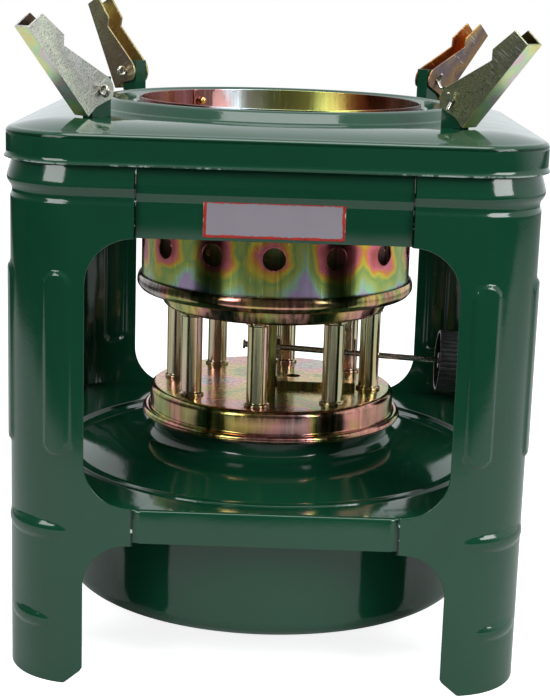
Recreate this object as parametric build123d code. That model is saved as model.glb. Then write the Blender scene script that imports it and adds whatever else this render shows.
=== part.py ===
from build123d import *
import math
import os

# Kerosene stove with eight wicks, in millimetres.
# Z is up from the floor, the origin is the centre of the footprint, the front faces -Y.

# Sheet stock and running clearances
body_sheet = 0.8
burner_sheet = 0.7
support_sheet = 1.0
nest_gap = 0.3
fit_gap = 0.05
run_gap = 0.08
loose_gap = 0.4
cut_past = 1.0

# Corner legs: four pressed corners, open between them on every side
body_width = 236.6
leg_corner_r = 34.3
arm_reach = 58.8
window_post = 36.8
window_low = 83.6
window_high = 205.7
window_r = 21.5
arch_post = 36.6
arch_top = 67.0
arch_r = 20.0
foot_reach = 28.3
foot_bevel_z = 6.5
foot_bevel_run = 7.3
groove_z = 223.5
bead_z = 229.7
neck_z = 236.2
bead_rise = 1.4
groove_depth = 0.8
rib_length = 84.0
rib_width = 14.5
rib_rise = 1.2
rib_centre_z = 149.0
rib_angle = 15.5
upper_crescent_z = 72.5
upper_crescent_angle = 38.0
upper_crescent_half = 4.6
upper_crescent_rise = 1.8
lower_crescent_z = 29.0
lower_crescent_angle = 25.0
lower_crescent_half = 4.0
lower_crescent_rise = 1.5

# Top plate: crowned lid with a deep skirt and a raised ring round the burner opening
plate_overhang = 1.8
plate_edge_z = 250.0
skirt_height = 13.0
skirt_lip = 0.8
plate_edge_r = 2.5
crown_rise = 4.0
crown_run = 30.0
ring_foot_run = 5.5
ring_crest_run = 11.8
ring_rise = 5.0
ring_flank = 2.2
ring_round = 0.9
throat_gap = 2.2
throat_rise = 1.6
throat_bend_run = 1.2
throat_bend_rise = 0.8
throat_drop = 1.6

# Name plate, left blank
label_width = 61.0
label_height = 16.0
label_z = 215.0
label_sheet = 0.4

# Tank: square pan with a domed top, round bowl under it
strip_low = 68.0
strip_set_in = 3.5
strip_joggle = 0.9
pan_deck_z = 83.6
pan_edge_r = 1.6
seam_in_r = 104.5
seam_out_r = 106.5
seam_depth = 2.0
seam_lip = 1.0
seam_inner_step = 0.4
dome_start_r = 99.0
dome_dip = 1.2
dome_top_z = 91.0
dome_bulge = 1.6
tank_neck_r = 60.5
tank_neck_bend = 3.0
bowl_r = 103.0
bowl_bottom_z = 18.0
bowl_edge_r = 8.0
bowl_flange = 5.0

# Filler on the tank, behind the burner
filler_y = 84.0
filler_low_z = 76.0
filler_r = 10.5
filler_wall = 1.0
filler_top_z = 97.0
cap_r = 13.0
cap_height = 8.5
cap_top = 3.0
cap_flutes = 20
cap_flute_r = 0.8

# Burner: base pan, eight wick tubes, gallery dish and drum tray
base_top_z = 115.5
base_slip = 0.5
base_shoulder_r = 3.0
base_bead_z = 102.4
base_bead_r = 2.0
base_bead_reach = 3.7
tube_count = 8
tube_circle_r = 49.2
tube_r = 5.0
tube_wall = 0.6
tube_low_z = 110.0
tube_top_z = 159.5
tube_first_angle = -97.8
tube_ring_r = 6.1
tube_ring_height = 1.8
dish_bottom_z = 157.0
dish_floor_r = 54.6
dish_rim_r = 57.5
dish_rim_z = 165.0
dish_air_r = 16.0
dish_lip = 1.2
tray_ledge = 0.8
tray_play = 0.7
tray_height = 6.4
tray_bulge = 1.8
tray_lip = 1.2

# Lift-out drum with its two flame sleeves
drum_r = 67.0
drum_top_z = 258.8
drum_flare = 2.0
drum_flare_height = 3.0
drum_holes = 14
drum_hole_r = 5.65
drum_hole_z = 190.0
drum_seam_angle = 128.5
drum_lap = 9.0
rivet_head_r = 1.9
rivet_shank_r = 0.95
low_rivet_z = 182.0
middle_rivet_z = 216.0
high_rivet_z = 253.2
sleeve_out_r = 56.5
sleeve_in_r = 42.0
sleeve_set_down = 12.8
spreader_set_down = 8.0
spreader_rise = 5.0
sleeve_hole_r = 1.6
sleeve_rows = 5
sleeve_columns = 24
sleeve_row_shift = 0.75
cross_pin_r = 1.2
cross_pin_z = 229.0
cross_pins = 3
cross_pin_end = 4.0

# Wick drive: rack, pinion, sloping shaft, knob
shaft_y = 2.5
shaft_z = 133.6
shaft_slope = 3.0
shaft_r = 1.5
shaft_left = 14.0
shaft_head = 1.2
shaft_head_rise = 0.8
pinion_teeth = 10
pinion_pitch_r = 5.0
pinion_from = -6.0
pinion_to = 3.5
tooth_addendum = 0.8
tooth_dedendum = 1.1
tooth_backlash = 0.25
tooth_flank = 22.0
tooth_bury = 0.6
rack_left = -3.0
rack_right = 2.0
rack_back = 5.2
rack_top_z = 150.5
rack_teeth_up = 2
wick_travel = 20.0
bracket_left = -10.0
bracket_right = 42.0
bracket_front = -11.0
bracket_rear = 6.0
bracket_rise = 3.4
bracket_ear_half = 4.25
bracket_ear_rise = 1.0
bracket_hole_r = 3.5
bracket_hole_x = 11.0
bracket_hole_y = 1.5
knob_set_in = 20.8
knob_length = 13.5
knob_r = 15.5
knob_wall = 1.7
knob_depth = 9.0
knob_hub_r = 4.0
knob_hub_set_in = 0.5
knob_socket = 11.5
knob_flutes = 36
knob_flute_r = 0.7
carrier_z = 84.0
carrier_sheet = 1.2
carrier_gap = 5.2
carrier_hole_r = 9.0
carrier_hole_at = 26.0
clamp_height = 3.5
clamp_wall = 0.6
wick_r = 4.0
wick_low_z = 26.0
wick_top_z = 150.0

# Folding pot supports on brackets at the four corners of the plate
support_lean = 50.0
support_turns_in = (-5.0, 11.0, 0.0, -1.5)
support_shifts_in = (3.0, 1.5, 0.0, 3.0)
support_set_in = 33.0
support_length = 51.0
support_width = 10.0
support_pivot_s = 5.0
support_pivot_p = 12.3
support_eye_r = 7.2
support_web_s = 0.8
support_heel_s = 1.2
support_heel_p = 5.8
support_tip_depth = 9.5
support_tip_back = 0.5
support_tooth_s = 36.5
support_tooth_p = 12.5
support_notch_s = 33.0
support_notch_p = 9.5
ear_depth = 10.5
ear_past_pin = 3.6
ear_height = 17.7
ear_width = 7.0
ear_cut_run = 3.5
ear_cut_drop = 4.5
ear_tab_half = 2.0
ear_tab_drop = 2.4
pin_r = 1.3
pin_hole_r = pin_r + run_gap
pin_wire_r = 0.8
pin_eye_r = 2.1
pin_eye_bury = 0.3
pin_end = 1.0
pin_leg_length = 4.2
pin_leg_angle = 55.0

half_body = body_width / 2
corner_at = half_body - leg_corner_r
arm_end = half_body - arm_reach
window_half = half_body - window_post
arch_half = half_body - arch_post
foot_flat_at = half_body - foot_reach
strip_half = arm_end - strip_set_in
drum_flare_r = drum_r + drum_flare
ring_throat_r = drum_flare_r + throat_gap
ring_crest_r = ring_throat_r + ring_crest_run
ring_foot_r = ring_crest_r + ring_foot_run
tray_inner_r = sleeve_out_r - burner_sheet - tray_ledge
tray_outer_r = drum_r + tray_play + burner_sheet
tray_bulge_r = tray_outer_r - tray_bulge
sleeve_top_z = drum_top_z - sleeve_set_down
spreader_z = sleeve_top_z - spreader_set_down
base_r = tank_neck_r + base_slip + burner_sheet
base_bead_outer_r = base_r + base_bead_reach
carrier_r = tank_neck_r - body_sheet - carrier_gap
knob_from = half_body - knob_set_in - knob_length
plate_corner_r = leg_corner_r + plate_overhang
support_heel_r = math.sqrt(2) * corner_at + plate_corner_r - support_set_in
plate_flat_u = plate_corner_r - crown_run
plate_top_z = plate_edge_z + crown_rise
plate_low_z = plate_edge_z - skirt_height
leg_top_z = plate_edge_z - body_sheet - nest_gap
band_u = leg_corner_r - body_sheet - groove_depth - nest_gap
pan_u = leg_corner_r - body_sheet - nest_gap
seam_z = pan_deck_z - seam_depth
base_inner_z = base_top_z - burner_sheet
tray_floor_z = dish_rim_z + burner_sheet
dish_floor_z = dish_bottom_z + burner_sheet
tooth_pitch = 2 * math.pi * pinion_pitch_r / pinion_teeth
rack_face_y = shaft_y - pinion_pitch_r
rack_back_y = rack_face_y - tooth_dedendum - rack_back
quarters = (0, 90, 180, 270)
on_base = (Align.CENTER, Align.CENTER, Align.MIN)


def outline(start, *steps):
    """Flat closed face through the points. A step of two points is an arc: (through, end)."""
    edges, here = [], start
    for step in steps + (start,):
        if isinstance(step[0], tuple):
            through, end = step
            edges.append(ThreePointArc(here, through, end))
        elif step != here:
            end = step
            edges.append(Line(here, end))
        here = end
    return make_face(edges)


def upright(profile):
    """Stand a flat profile up: its x stays along X and its y becomes height."""
    return Plane.XZ * profile


def turned(profile):
    """Turn a profile of (radius, height) once round the stove's own axis."""
    return revolve(upright(profile), Axis.Z)


def on_circle(centre, radius, angle):
    """Point on a circle, for naming the middle of an arc."""
    a = math.radians(angle)
    return (centre[0] + radius * math.cos(a), centre[1] + radius * math.sin(a))


def disc(radius, low, high, x=0, y=0):
    """Upright round bar between two heights."""
    return Pos(x, y, low) * Cylinder(radius, high - low, align=on_base)


def spoke(radius, start, end, z):
    """Round bar along X between two distances from the stove's axis."""
    return Pos(start, 0, z) * Rot(0, 90, 0) * Cylinder(radius, end - start, align=on_base)


def corner_turn(profile):
    """Sweep a wall section, measured from the corner axis, a quarter turn round that corner."""
    placed = Pos(corner_at, corner_at, 0) * upright(profile)
    return revolve(placed, Axis((corner_at, corner_at, 0), (0, 0, 1)), revolution_arc=90)


def side_run(profile, length):
    """Run the same wall section straight along one side, away from the corner."""
    placed = Pos(corner_at, corner_at, 0) * upright(profile)
    return extrude(placed, amount=length, dir=(0, -1, 0))


def body_ring(profile):
    """Carry a wall section the whole way round the rounded square body."""
    quarter = corner_turn(profile) + side_run(profile, 2 * corner_at)
    ring = quarter
    for turn in quarters[1:]:
        ring += Rot(0, 0, turn) * quarter
    return ring


def box_between(low, high):
    """Box given by its lowest and highest corners."""
    size = [b - a for a, b in zip(low, high)]
    return Pos(*low) * Box(*size, align=(Align.MIN, Align.MIN, Align.MIN))


def leg_section():
    """Leg section: plain wall, groove, rolled bead and neck under the plate's skirt."""
    outer_u = leg_corner_r
    sheet = body_sheet
    neck_u = outer_u - groove_depth
    bead_u = outer_u + bead_rise
    groove_start = groove_z - 2 * groove_depth
    return outline(
        (outer_u, 0),
        (outer_u, groove_start),
        (neck_u, groove_z),
        ((bead_u, bead_z), (neck_u, neck_z)),
        (neck_u, leg_top_z),
        (neck_u - sheet, leg_top_z),
        (neck_u - sheet, neck_z),
        ((bead_u - sheet, bead_z), (neck_u - sheet, groove_z)),
        (outer_u - sheet, groove_start),
        (outer_u - sheet, 0),
    )


def crescent(centre_z, half_angle, half_height, rise, inset):
    """Egg shape whose side stands out of the rounded corner as a crescent bead."""
    r = leg_corner_r
    reach = r + rise
    cosine = math.cos(math.radians(half_angle))
    shift = (reach * reach - r * r) / (2 * (reach - r * cosine))
    wide = reach - shift
    tall = half_height / math.sqrt(1 - ((r - shift) / wide) ** 2)
    half = make_face([
        EllipticalCenterArc((0, 0), wide - inset, tall - inset, start_angle=-90, arc_size=180),
        Line((0, tall - inset), (0, inset - tall)),
    ])
    egg = revolve(upright(half), Axis.Z)
    off = corner_at + shift * math.cos(math.radians(45))
    return Pos(off, off, centre_z) * egg


def leg_rib(angle, inset):
    """Upright rib with round ends, pressed out of the rounded corner."""
    a = math.radians(angle)
    face = Plane(
        origin=(corner_at, corner_at, rib_centre_z),
        x_dir=(-math.sin(a), math.cos(a), 0),
        z_dir=(math.cos(a), math.sin(a), 0),
    )
    slot = SlotOverall(rib_length - 2 * inset, rib_width - 2 * inset, rotation=90)
    bar = extrude(face * slot, amount=2 * leg_corner_r)
    drum = disc(leg_corner_r + rib_rise - inset, 0, leg_top_z, corner_at, corner_at)
    return bar & drum


def make_leg():
    """Rear right leg: a pressed corner with two short arms above and below the windows."""
    section = leg_section()
    arm = side_run(section, corner_at - arm_end)
    leg = corner_turn(section) + arm
    leg += mirror(arm, about=Plane((0, 0, 0), x_dir=(0, 0, 1), z_dir=(1, -1, 0)))

    inside = disc(leg_corner_r - body_sheet / 2, 0, leg_top_z, corner_at, corner_at)
    for angle in (rib_angle, 90 - rib_angle):
        leg += leg_rib(angle, 0) - inside
        leg -= leg_rib(angle, body_sheet)
    upper = (upper_crescent_z, upper_crescent_angle, upper_crescent_half, upper_crescent_rise)
    lower = (lower_crescent_z, lower_crescent_angle, lower_crescent_half, lower_crescent_rise)
    for place in (upper, lower):
        leg += crescent(*place, 0) - inside
        leg -= crescent(*place, body_sheet)

    window = Pos(0, (window_low + window_high) / 2) * RectangleRounded(
        2 * window_half, window_high - window_low, window_r)
    arch = RectangleRounded(2 * arch_half, 2 * arch_top, arch_r)
    bevel_at = foot_flat_at - foot_bevel_run
    foot = outline((-foot_flat_at, 0), (foot_flat_at, 0), (bevel_at, foot_bevel_z), (-bevel_at, foot_bevel_z))
    for cut in (window, arch, foot):
        tunnel = extrude(upright(cut), amount=body_width, both=True)
        leg -= tunnel
        leg -= Rot(0, 0, 90) * tunnel
    return leg


def make_upper_band():
    """Square hoop behind the legs' upper arms, with a sharp crease level with their bead."""
    crease_u = band_u + bead_rise + groove_depth - nest_gap
    section = outline(
        (band_u, window_high),
        (band_u, groove_z),
        (crease_u, bead_z),
        (band_u, neck_z),
        (band_u, leg_top_z),
        (band_u - body_sheet, leg_top_z),
        (band_u - body_sheet, neck_z),
        (crease_u - body_sheet, bead_z),
        (band_u - body_sheet, groove_z),
        (band_u - body_sheet, window_high),
    )
    return body_ring(section)


def make_label():
    """Blank name plate on the front of the band."""
    face_y = -(corner_at + band_u)
    low = (-label_width / 2, face_y - label_sheet, label_z - label_height / 2)
    high = (label_width / 2, face_y, label_z + label_height / 2)
    return box_between(low, high)


def crown_point(u, drop):
    """Point on the plate's crowned top, at a distance from the corner axis."""
    flat = plate_flat_u
    edge = plate_corner_r - plate_edge_r
    radius = ((edge - flat) ** 2 + crown_rise ** 2) / (2 * crown_rise)
    fall = radius - math.sqrt(radius ** 2 - (u - flat) ** 2)
    return (u, plate_top_z - fall - drop)


def make_top_plate():
    """Crowned lid: skirt with a small lip, raised ring, round opening, bracket slots."""
    outer_u = plate_corner_r
    centre = (outer_u - plate_edge_r, plate_edge_z - plate_edge_r)
    inner_edge_r = plate_edge_r - body_sheet
    middle_u = (centre[0] + plate_flat_u) / 2
    rim = outline(
        (outer_u + skirt_lip, plate_low_z),
        (outer_u + skirt_lip, plate_low_z + skirt_lip),
        (outer_u, plate_low_z + 2 * skirt_lip),
        (outer_u, centre[1]),
        (on_circle(centre, plate_edge_r, 45), (centre[0], plate_edge_z)),
        (crown_point(middle_u, 0), crown_point(plate_flat_u, 0)),
        crown_point(plate_flat_u, body_sheet),
        (crown_point(middle_u, body_sheet), (centre[0], plate_edge_z - body_sheet)),
        (on_circle(centre, inner_edge_r, 45), (centre[0] + inner_edge_r, centre[1])),
        (outer_u - body_sheet, plate_low_z),
    )
    plate = body_ring(rim)

    flat_half = corner_at + plate_flat_u
    middle = extrude(RectangleRounded(2 * flat_half, 2 * flat_half, plate_flat_u), amount=body_sheet)
    middle -= Cylinder(ring_foot_r, 4 * body_sheet)
    plate += Pos(0, 0, plate_top_z - body_sheet) * middle

    crest_z = plate_top_z + ring_rise
    outer_r = ring_crest_r + ring_flank
    inner_r = ring_crest_r - ring_flank
    shoulder_z = crest_z - ring_round
    throat_z = plate_top_z + throat_rise
    bend_r = ring_throat_r + throat_bend_run
    bend_z = throat_z + throat_bend_rise
    t = body_sheet
    ring = outline(
        (ring_foot_r, plate_top_z),
        (outer_r, shoulder_z),
        ((ring_crest_r, crest_z), (inner_r, shoulder_z)),
        (bend_r, bend_z),
        (ring_throat_r, throat_z),
        (ring_throat_r, throat_z - throat_drop),
        (ring_throat_r + t, throat_z - throat_drop),
        (bend_r + t / 2, bend_z - t),
        (inner_r, shoulder_z - t),
        ((ring_crest_r, crest_z - t), (outer_r, shoulder_z - t)),
        (ring_foot_r, plate_top_z - t),
    )
    plate += turned(ring)

    tab_r = pivot_place()[0] + ear_past_pin - ear_depth / 2
    for turn, shift_in in zip(quarters, support_shifts_in):
        for side in (-1, 1):
            ear_y = side * (ear_width - support_sheet) / 2
            half_x = ear_tab_half + fit_gap
            half_y = support_sheet / 2 + fit_gap
            slot = box_between((tab_r - half_x, ear_y - half_y, plate_low_z),
                               (tab_r + half_x, ear_y + half_y, plate_top_z + ring_rise))
            plate -= Rot(0, 0, 45 + turn) * Pos(-shift_in, 0, 0) * slot
    return plate


def make_tank_pan():
    """Square pan: skirt strip behind the lower arms, flat deck, welded seam, dome and neck."""
    centre = (pan_u - pan_edge_r, pan_deck_z - pan_edge_r)
    inner_r = pan_edge_r - body_sheet
    rim = outline(
        (pan_u, strip_low),
        (pan_u, centre[1]),
        (on_circle(centre, pan_edge_r, 45), (centre[0], pan_deck_z)),
        (0, pan_deck_z),
        (0, pan_deck_z - body_sheet),
        (centre[0], pan_deck_z - body_sheet),
        (on_circle(centre, inner_r, 45), (pan_u - body_sheet, centre[1])),
        (pan_u - body_sheet, strip_low),
    )
    pan = body_ring(rim)
    deck = extrude(Rectangle(2 * corner_at, 2 * corner_at), amount=body_sheet)
    pan += Pos(0, 0, pan_deck_z - body_sheet) * deck
    pan -= Cylinder(seam_out_r + seam_lip, 4 * pan_deck_z)

    front_u = pan_u + strip_joggle
    for turn in quarters:
        outer = outline((-strip_half - 2 * strip_joggle, -pan_u), (-strip_half, -front_u),
                        (strip_half, -front_u), (strip_half + 2 * strip_joggle, -pan_u),
                        (strip_half, -pan_u + body_sheet / 2), (-strip_half, -pan_u + body_sheet / 2))
        panel = Pos(0, -corner_at, strip_low) * extrude(outer, amount=pan_deck_z - pan_edge_r - strip_low)
        hollow = box_between((-strip_half, -corner_at - front_u + body_sheet, 0),
                             (strip_half, -corner_at - pan_u + body_sheet, pan_deck_z - 2 * body_sheet))
        pan += Rot(0, 0, turn) * panel
        pan -= Rot(0, 0, turn) * hollow

    t = body_sheet
    wall = tank_neck_r - t
    lip_r = tank_neck_r - base_shoulder_r
    lip_z = base_inner_z - base_shoulder_r
    bend_r = tank_neck_r + tank_neck_bend
    bend_z = dome_top_z + tank_neck_bend
    dip_z = pan_deck_z - dome_dip
    mid_r = (dome_start_r + tank_neck_r) / 2
    mid_z = (dip_z + dome_top_z) / 2 + dome_bulge
    step_r = seam_in_r - seam_lip
    step_z = pan_deck_z - seam_inner_step
    dome = outline(
        (seam_out_r + seam_lip, pan_deck_z),
        (seam_out_r, seam_z),
        (seam_in_r, seam_z),
        (step_r, step_z),
        (dome_start_r, dip_z),
        ((mid_r, mid_z), (bend_r, dome_top_z)),
        (tank_neck_r, bend_z),
        (tank_neck_r, lip_z),
        (lip_r, base_inner_z),
        (lip_r - t, base_inner_z - t),
        (wall, lip_z - t),
        (wall, bend_z - t / 2),
        (bend_r - t / 2, dome_top_z - t),
        ((mid_r, mid_z - t), (dome_start_r, dip_z - t)),
        (step_r - t / 2, step_z - t),
        (seam_in_r - t / 2, seam_z - t),
        (seam_out_r + t / 2, seam_z - t),
        (seam_out_r + seam_lip, pan_deck_z - t),
    )
    pan += turned(dome)
    pan -= disc(filler_r + fit_gap, filler_low_z, filler_top_z, 0, filler_y)
    return pan


def make_tank_bowl():
    """Round bowl that holds the fuel, with a flange welded under the pan's seam."""
    t = body_sheet
    flange_z = seam_z - t
    centre = (bowl_r - bowl_edge_r, bowl_bottom_z + bowl_edge_r)
    return turned(outline(
        (0, bowl_bottom_z),
        (centre[0], bowl_bottom_z),
        (on_circle(centre, bowl_edge_r, -45), (bowl_r, centre[1])),
        (bowl_r, flange_z - t),
        (bowl_r + bowl_flange, flange_z - t),
        (bowl_r + bowl_flange, flange_z),
        (bowl_r - t, flange_z),
        (bowl_r - t, centre[1]),
        (on_circle(centre, bowl_edge_r - t, -45), (centre[0], bowl_bottom_z + t)),
        (0, bowl_bottom_z + t),
    ))


def make_filler_neck():
    """Short soldered spout with a collar on the dome."""
    neck = disc(filler_r, filler_low_z, filler_top_z, 0, filler_y)
    return neck - disc(filler_r - filler_wall, 0, filler_top_z + cut_past, 0, filler_y)


def make_filler_cap():
    """Screw cap with a fluted edge, hollow underneath."""
    high = filler_top_z + cap_top
    low = high - cap_height
    cap = disc(cap_r, low, high, 0, filler_y)
    cap -= disc(filler_r + loose_gap, low - cut_past, filler_top_z, 0, filler_y)
    for k in range(cap_flutes):
        x, y = on_circle((0, filler_y), cap_r, 360 / cap_flutes * k)
        cap -= disc(cap_flute_r, low - cut_past, high + cut_past, x, y)
    return cap


def tube_places():
    """Centres of the wick tubes on their circle."""
    step = 360 / tube_count
    return [on_circle((0, 0), tube_circle_r, tube_first_angle + step * k) for k in range(tube_count)]


def rack_slot(low, high):
    """Room for the rack where it passes through a sheet."""
    gap = 2 * loose_gap
    return box_between((rack_left - gap, rack_back_y - gap, low),
                       (rack_right + gap, rack_face_y + tooth_addendum + gap, high))


def make_burner_base():
    """Round base pan over the tank's neck, with a rolled bead round its foot."""
    t = burner_sheet
    centre = (base_r - base_shoulder_r, base_top_z - base_shoulder_r)
    pan = turned(outline(
        (0, base_top_z),
        (centre[0], base_top_z),
        (on_circle(centre, base_shoulder_r, 45), (base_r, centre[1])),
        (base_r, base_bead_z + base_bead_r),
        (base_bead_outer_r - base_bead_r, base_bead_z + base_bead_r / 2),
        (base_bead_outer_r - base_bead_r - t, base_bead_z),
        (base_r - t, base_bead_z + base_bead_r),
        (base_r - t, centre[1]),
        (on_circle(centre, base_shoulder_r - t, 45), (centre[0], base_inner_z)),
        (0, base_inner_z),
    ))
    ring = Pos(base_bead_outer_r - base_bead_r, base_bead_z) * Circle(base_bead_r)
    pan += turned(ring)
    for x, y in tube_places():
        pan -= disc(tube_r + fit_gap, 0, base_top_z + cut_past, x, y)
    return pan - rack_slot(base_inner_z - cut_past, base_top_z + cut_past)


def make_wick_tubes():
    """Eight soldered wick tubes with a spun ring at the foot and under the gallery."""
    tubes = []
    for x, y in tube_places():
        tube = disc(tube_r, tube_low_z, tube_top_z, x, y)
        tube += disc(tube_ring_r, base_top_z, base_top_z + tube_ring_height, x, y)
        tube += disc(tube_ring_r, dish_bottom_z - tube_ring_height, dish_bottom_z, x, y)
        tube -= disc(tube_r - tube_wall, tube_low_z - cut_past, tube_top_z + cut_past, x, y)
        tubes.append(tube)
    return tubes


def make_gallery_dish():
    """Pressed dish that the wick tubes end in, with an air hole in the middle."""
    t = burner_sheet
    dish = turned(outline(
        (dish_air_r, dish_bottom_z),
        (dish_floor_r, dish_bottom_z),
        (dish_rim_r, dish_rim_z - t),
        (dish_rim_r + dish_lip, dish_rim_z - t),
        (dish_rim_r + dish_lip, dish_rim_z),
        (dish_rim_r - t, dish_rim_z),
        (dish_floor_r - t, dish_floor_z),
        (dish_air_r, dish_floor_z),
    ))
    for x, y in tube_places():
        dish -= disc(tube_r + fit_gap, dish_bottom_z - cut_past, tube_top_z + cut_past, x, y)
    return dish


def make_drum_tray():
    """Flat ring on the dish whose rolled edge keeps the drum in place."""
    t = burner_sheet
    top_z = dish_rim_z + tray_height
    middle_z = dish_rim_z + tray_height / 2
    return turned(outline(
        (tray_inner_r, dish_rim_z),
        (tray_bulge_r, dish_rim_z),
        ((tray_outer_r, middle_z), (tray_outer_r - t, top_z)),
        (tray_outer_r - tray_lip, top_z),
        ((tray_outer_r - t, middle_z), (tray_outer_r - tray_lip, tray_floor_z)),
        (tray_inner_r, tray_floor_z),
    ))


def make_outer_drum():
    """Rolled drum with a row of air holes, a riveted lap and a flared top edge."""
    t = burner_sheet
    flare_z = drum_top_z - drum_flare_height
    drum = turned(outline(
        (drum_r, tray_floor_z),
        (drum_r, flare_z),
        (drum_flare_r, drum_top_z),
        (drum_flare_r - t, drum_top_z),
        (drum_r - t, flare_z),
        (drum_r - t, tray_floor_z),
    ))
    lap_low = sleeve_top_z + 2 * t
    lap = turned(outline((drum_r - 2 * t, lap_low), (drum_r - t, lap_low), (drum_r - t, flare_z),
                         (drum_r - 2 * t, flare_z)))
    strip = box_between((0, -drum_lap / 2, 0), (drum_flare_r, drum_lap / 2, drum_top_z))
    seam = Rot(0, 0, drum_seam_angle)
    drum += lap & (seam * strip)
    for k in range(drum_holes):
        turn = Rot(0, 0, -90 + 360 / drum_holes * k)
        drum -= turn * spoke(drum_hole_r, drum_r - 3 * t, drum_r + 3 * t, drum_hole_z)
    for z in (low_rivet_z, middle_rivet_z, high_rivet_z):
        drum -= seam * spoke(rivet_shank_r + fit_gap, drum_r - 3 * t, drum_r + 3 * t, z)
    return pin_bores(drum)


def make_drum_rivets():
    """Round-headed rivets along the drum's lap: shank through both layers, a head inside and out."""
    t = burner_sheet
    rivets = []
    for z, layers in ((low_rivet_z, 1), (middle_rivet_z, 1), (high_rivet_z, 2)):
        inner_r = drum_r - layers * t
        ends = (z - rivet_head_r, z + rivet_head_r)
        outer_head = Pos(drum_r, 0, z) * Sphere(rivet_head_r) - disc(drum_r, *ends)
        inner_head = Pos(inner_r, 0, z) * Sphere(rivet_head_r) & disc(inner_r, *ends)
        shank = spoke(rivet_shank_r, inner_r - t, drum_r + t, z)
        rivets.append(Rot(0, 0, drum_seam_angle) * (shank + outer_head + inner_head))
    return rivets


def perforated(radius, low, high):
    """Thin sleeve with rows of small flame holes."""
    sleeve = disc(radius, low, high) - disc(radius - burner_sheet, low - cut_past, high + cut_past)
    step = (high - low) / (sleeve_rows + 1)
    for row in range(sleeve_rows):
        z = low + step * (row + sleeve_row_shift)
        for k in range(sleeve_columns // 2):
            turn = 360 / sleeve_columns * (k + (1 + 2 * (row % 2)) / 4)
            sleeve -= Rot(0, 0, turn) * spoke(sleeve_hole_r, -drum_r, drum_r, z)
    return sleeve


def pin_bores(sleeve):
    """Drill a sleeve for the cross pins."""
    bore = spoke(cross_pin_r + fit_gap, sleeve_in_r - cross_pin_end, drum_r + cross_pin_end, cross_pin_z)
    for k in range(cross_pins):
        sleeve -= Rot(0, 0, 90 + 360 / cross_pins * k) * bore
    return sleeve


def make_outer_sleeve():
    """Outer flame sleeve, standing on the drum tray."""
    return pin_bores(perforated(sleeve_out_r, tray_floor_z, sleeve_top_z))


def make_inner_sleeve():
    """Inner flame sleeve, standing in the dish inside the ring of wicks."""
    return pin_bores(perforated(sleeve_in_r, dish_floor_z, spreader_z))


def make_spreader():
    """Domed cap on the inner sleeve that turns the flame outwards."""
    t = burner_sheet
    radius = (sleeve_in_r ** 2 + spreader_rise ** 2) / (2 * spreader_rise)
    lean = math.asin(sleeve_in_r / radius) / 2
    half_r = radius * math.sin(lean)
    half_z = spreader_z + t + spreader_rise - radius * (1 - math.cos(lean))
    return turned(outline(
        (0, spreader_z + spreader_rise),
        (0, spreader_z + spreader_rise + t),
        ((half_r, half_z), (sleeve_in_r, spreader_z + t)),
        (sleeve_in_r, spreader_z),
        ((half_r, half_z - t), (0, spreader_z + spreader_rise)),
    ))


def make_top_ring():
    """Flat ring that closes the air gap between drum and outer sleeve."""
    t = burner_sheet
    ring = disc(drum_r - t - fit_gap, sleeve_top_z, sleeve_top_z + t)
    return ring - disc(sleeve_out_r - 2 * t, 0, drum_top_z)


def make_cross_pins():
    """Pins that hold the inner sleeve, outer sleeve and drum on one centre."""
    pin = spoke(cross_pin_r, sleeve_in_r - cross_pin_end, drum_r + burner_sheet, cross_pin_z)
    return [Rot(0, 0, 90 + 360 / cross_pins * k) * pin for k in range(cross_pins)]


def shaft_frame(along):
    """Plane across the sloping shaft: local x is +Y, local y is up, local z runs to the knob."""
    a = math.radians(shaft_slope)
    return Plane(
        origin=(along * math.cos(a), shaft_y, shaft_z - along * math.sin(a)),
        x_dir=(0, 1, 0),
        z_dir=(math.cos(a), 0, -math.sin(a)),
    )


def make_shaft():
    """Thin rod from the pinion to the knob, with an upset head on its free end."""
    rod = extrude(shaft_frame(-shaft_left) * Circle(shaft_r), amount=shaft_left + knob_from + knob_socket)
    head = Circle(shaft_r + shaft_head_rise)
    return rod + extrude(shaft_frame(-shaft_left - shaft_head) * head, amount=shaft_head)


def tooth_half(depth):
    """Half thickness of a tooth at a height above the pitch line."""
    return tooth_pitch / 4 - tooth_backlash / 2 - depth * math.tan(math.radians(tooth_flank))


def tooth(root, tip, middle):
    """Flat tooth along X from its root to its tip, sunk a little into the body it stands on."""
    wide = tooth_half(-tooth_dedendum)
    narrow = tooth_half(tooth_addendum)
    foot = root - tooth_bury
    return outline((foot, middle - wide), (tip, middle - narrow),
                   (tip, middle + narrow), (foot, middle + wide))


def make_pinion():
    """Small ten-tooth gear, with a gap turned to the rack."""
    root = pinion_pitch_r - tooth_dedendum
    shape = tooth(root, pinion_pitch_r + tooth_addendum, 0)
    gear = Circle(root)
    for k in range(pinion_teeth):
        gear += Rot(0, 0, 180 + 360 / pinion_teeth * (k + 0.5)) * shape
    gear -= Circle(shaft_r + fit_gap / 2)
    return extrude(shaft_frame(pinion_from) * gear, amount=pinion_to - pinion_from)


def make_rack():
    """Toothed bar that lifts the wick carrier, its teeth facing the pinion."""
    low = carrier_z + carrier_sheet
    root_y = rack_face_y - tooth_dedendum
    bar = box_between((rack_left, rack_back_y, low), (rack_right, root_y, rack_top_z))
    teeth_down = int(wick_travel / tooth_pitch) + 2
    for k in range(-teeth_down, rack_teeth_up + 1):
        shape = tooth(root_y, rack_face_y + tooth_addendum, shaft_z + k * tooth_pitch)
        bar += Pos(rack_left, 0, 0) * extrude(Plane.YZ * shape, amount=rack_right - rack_left)
    return bar


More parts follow.
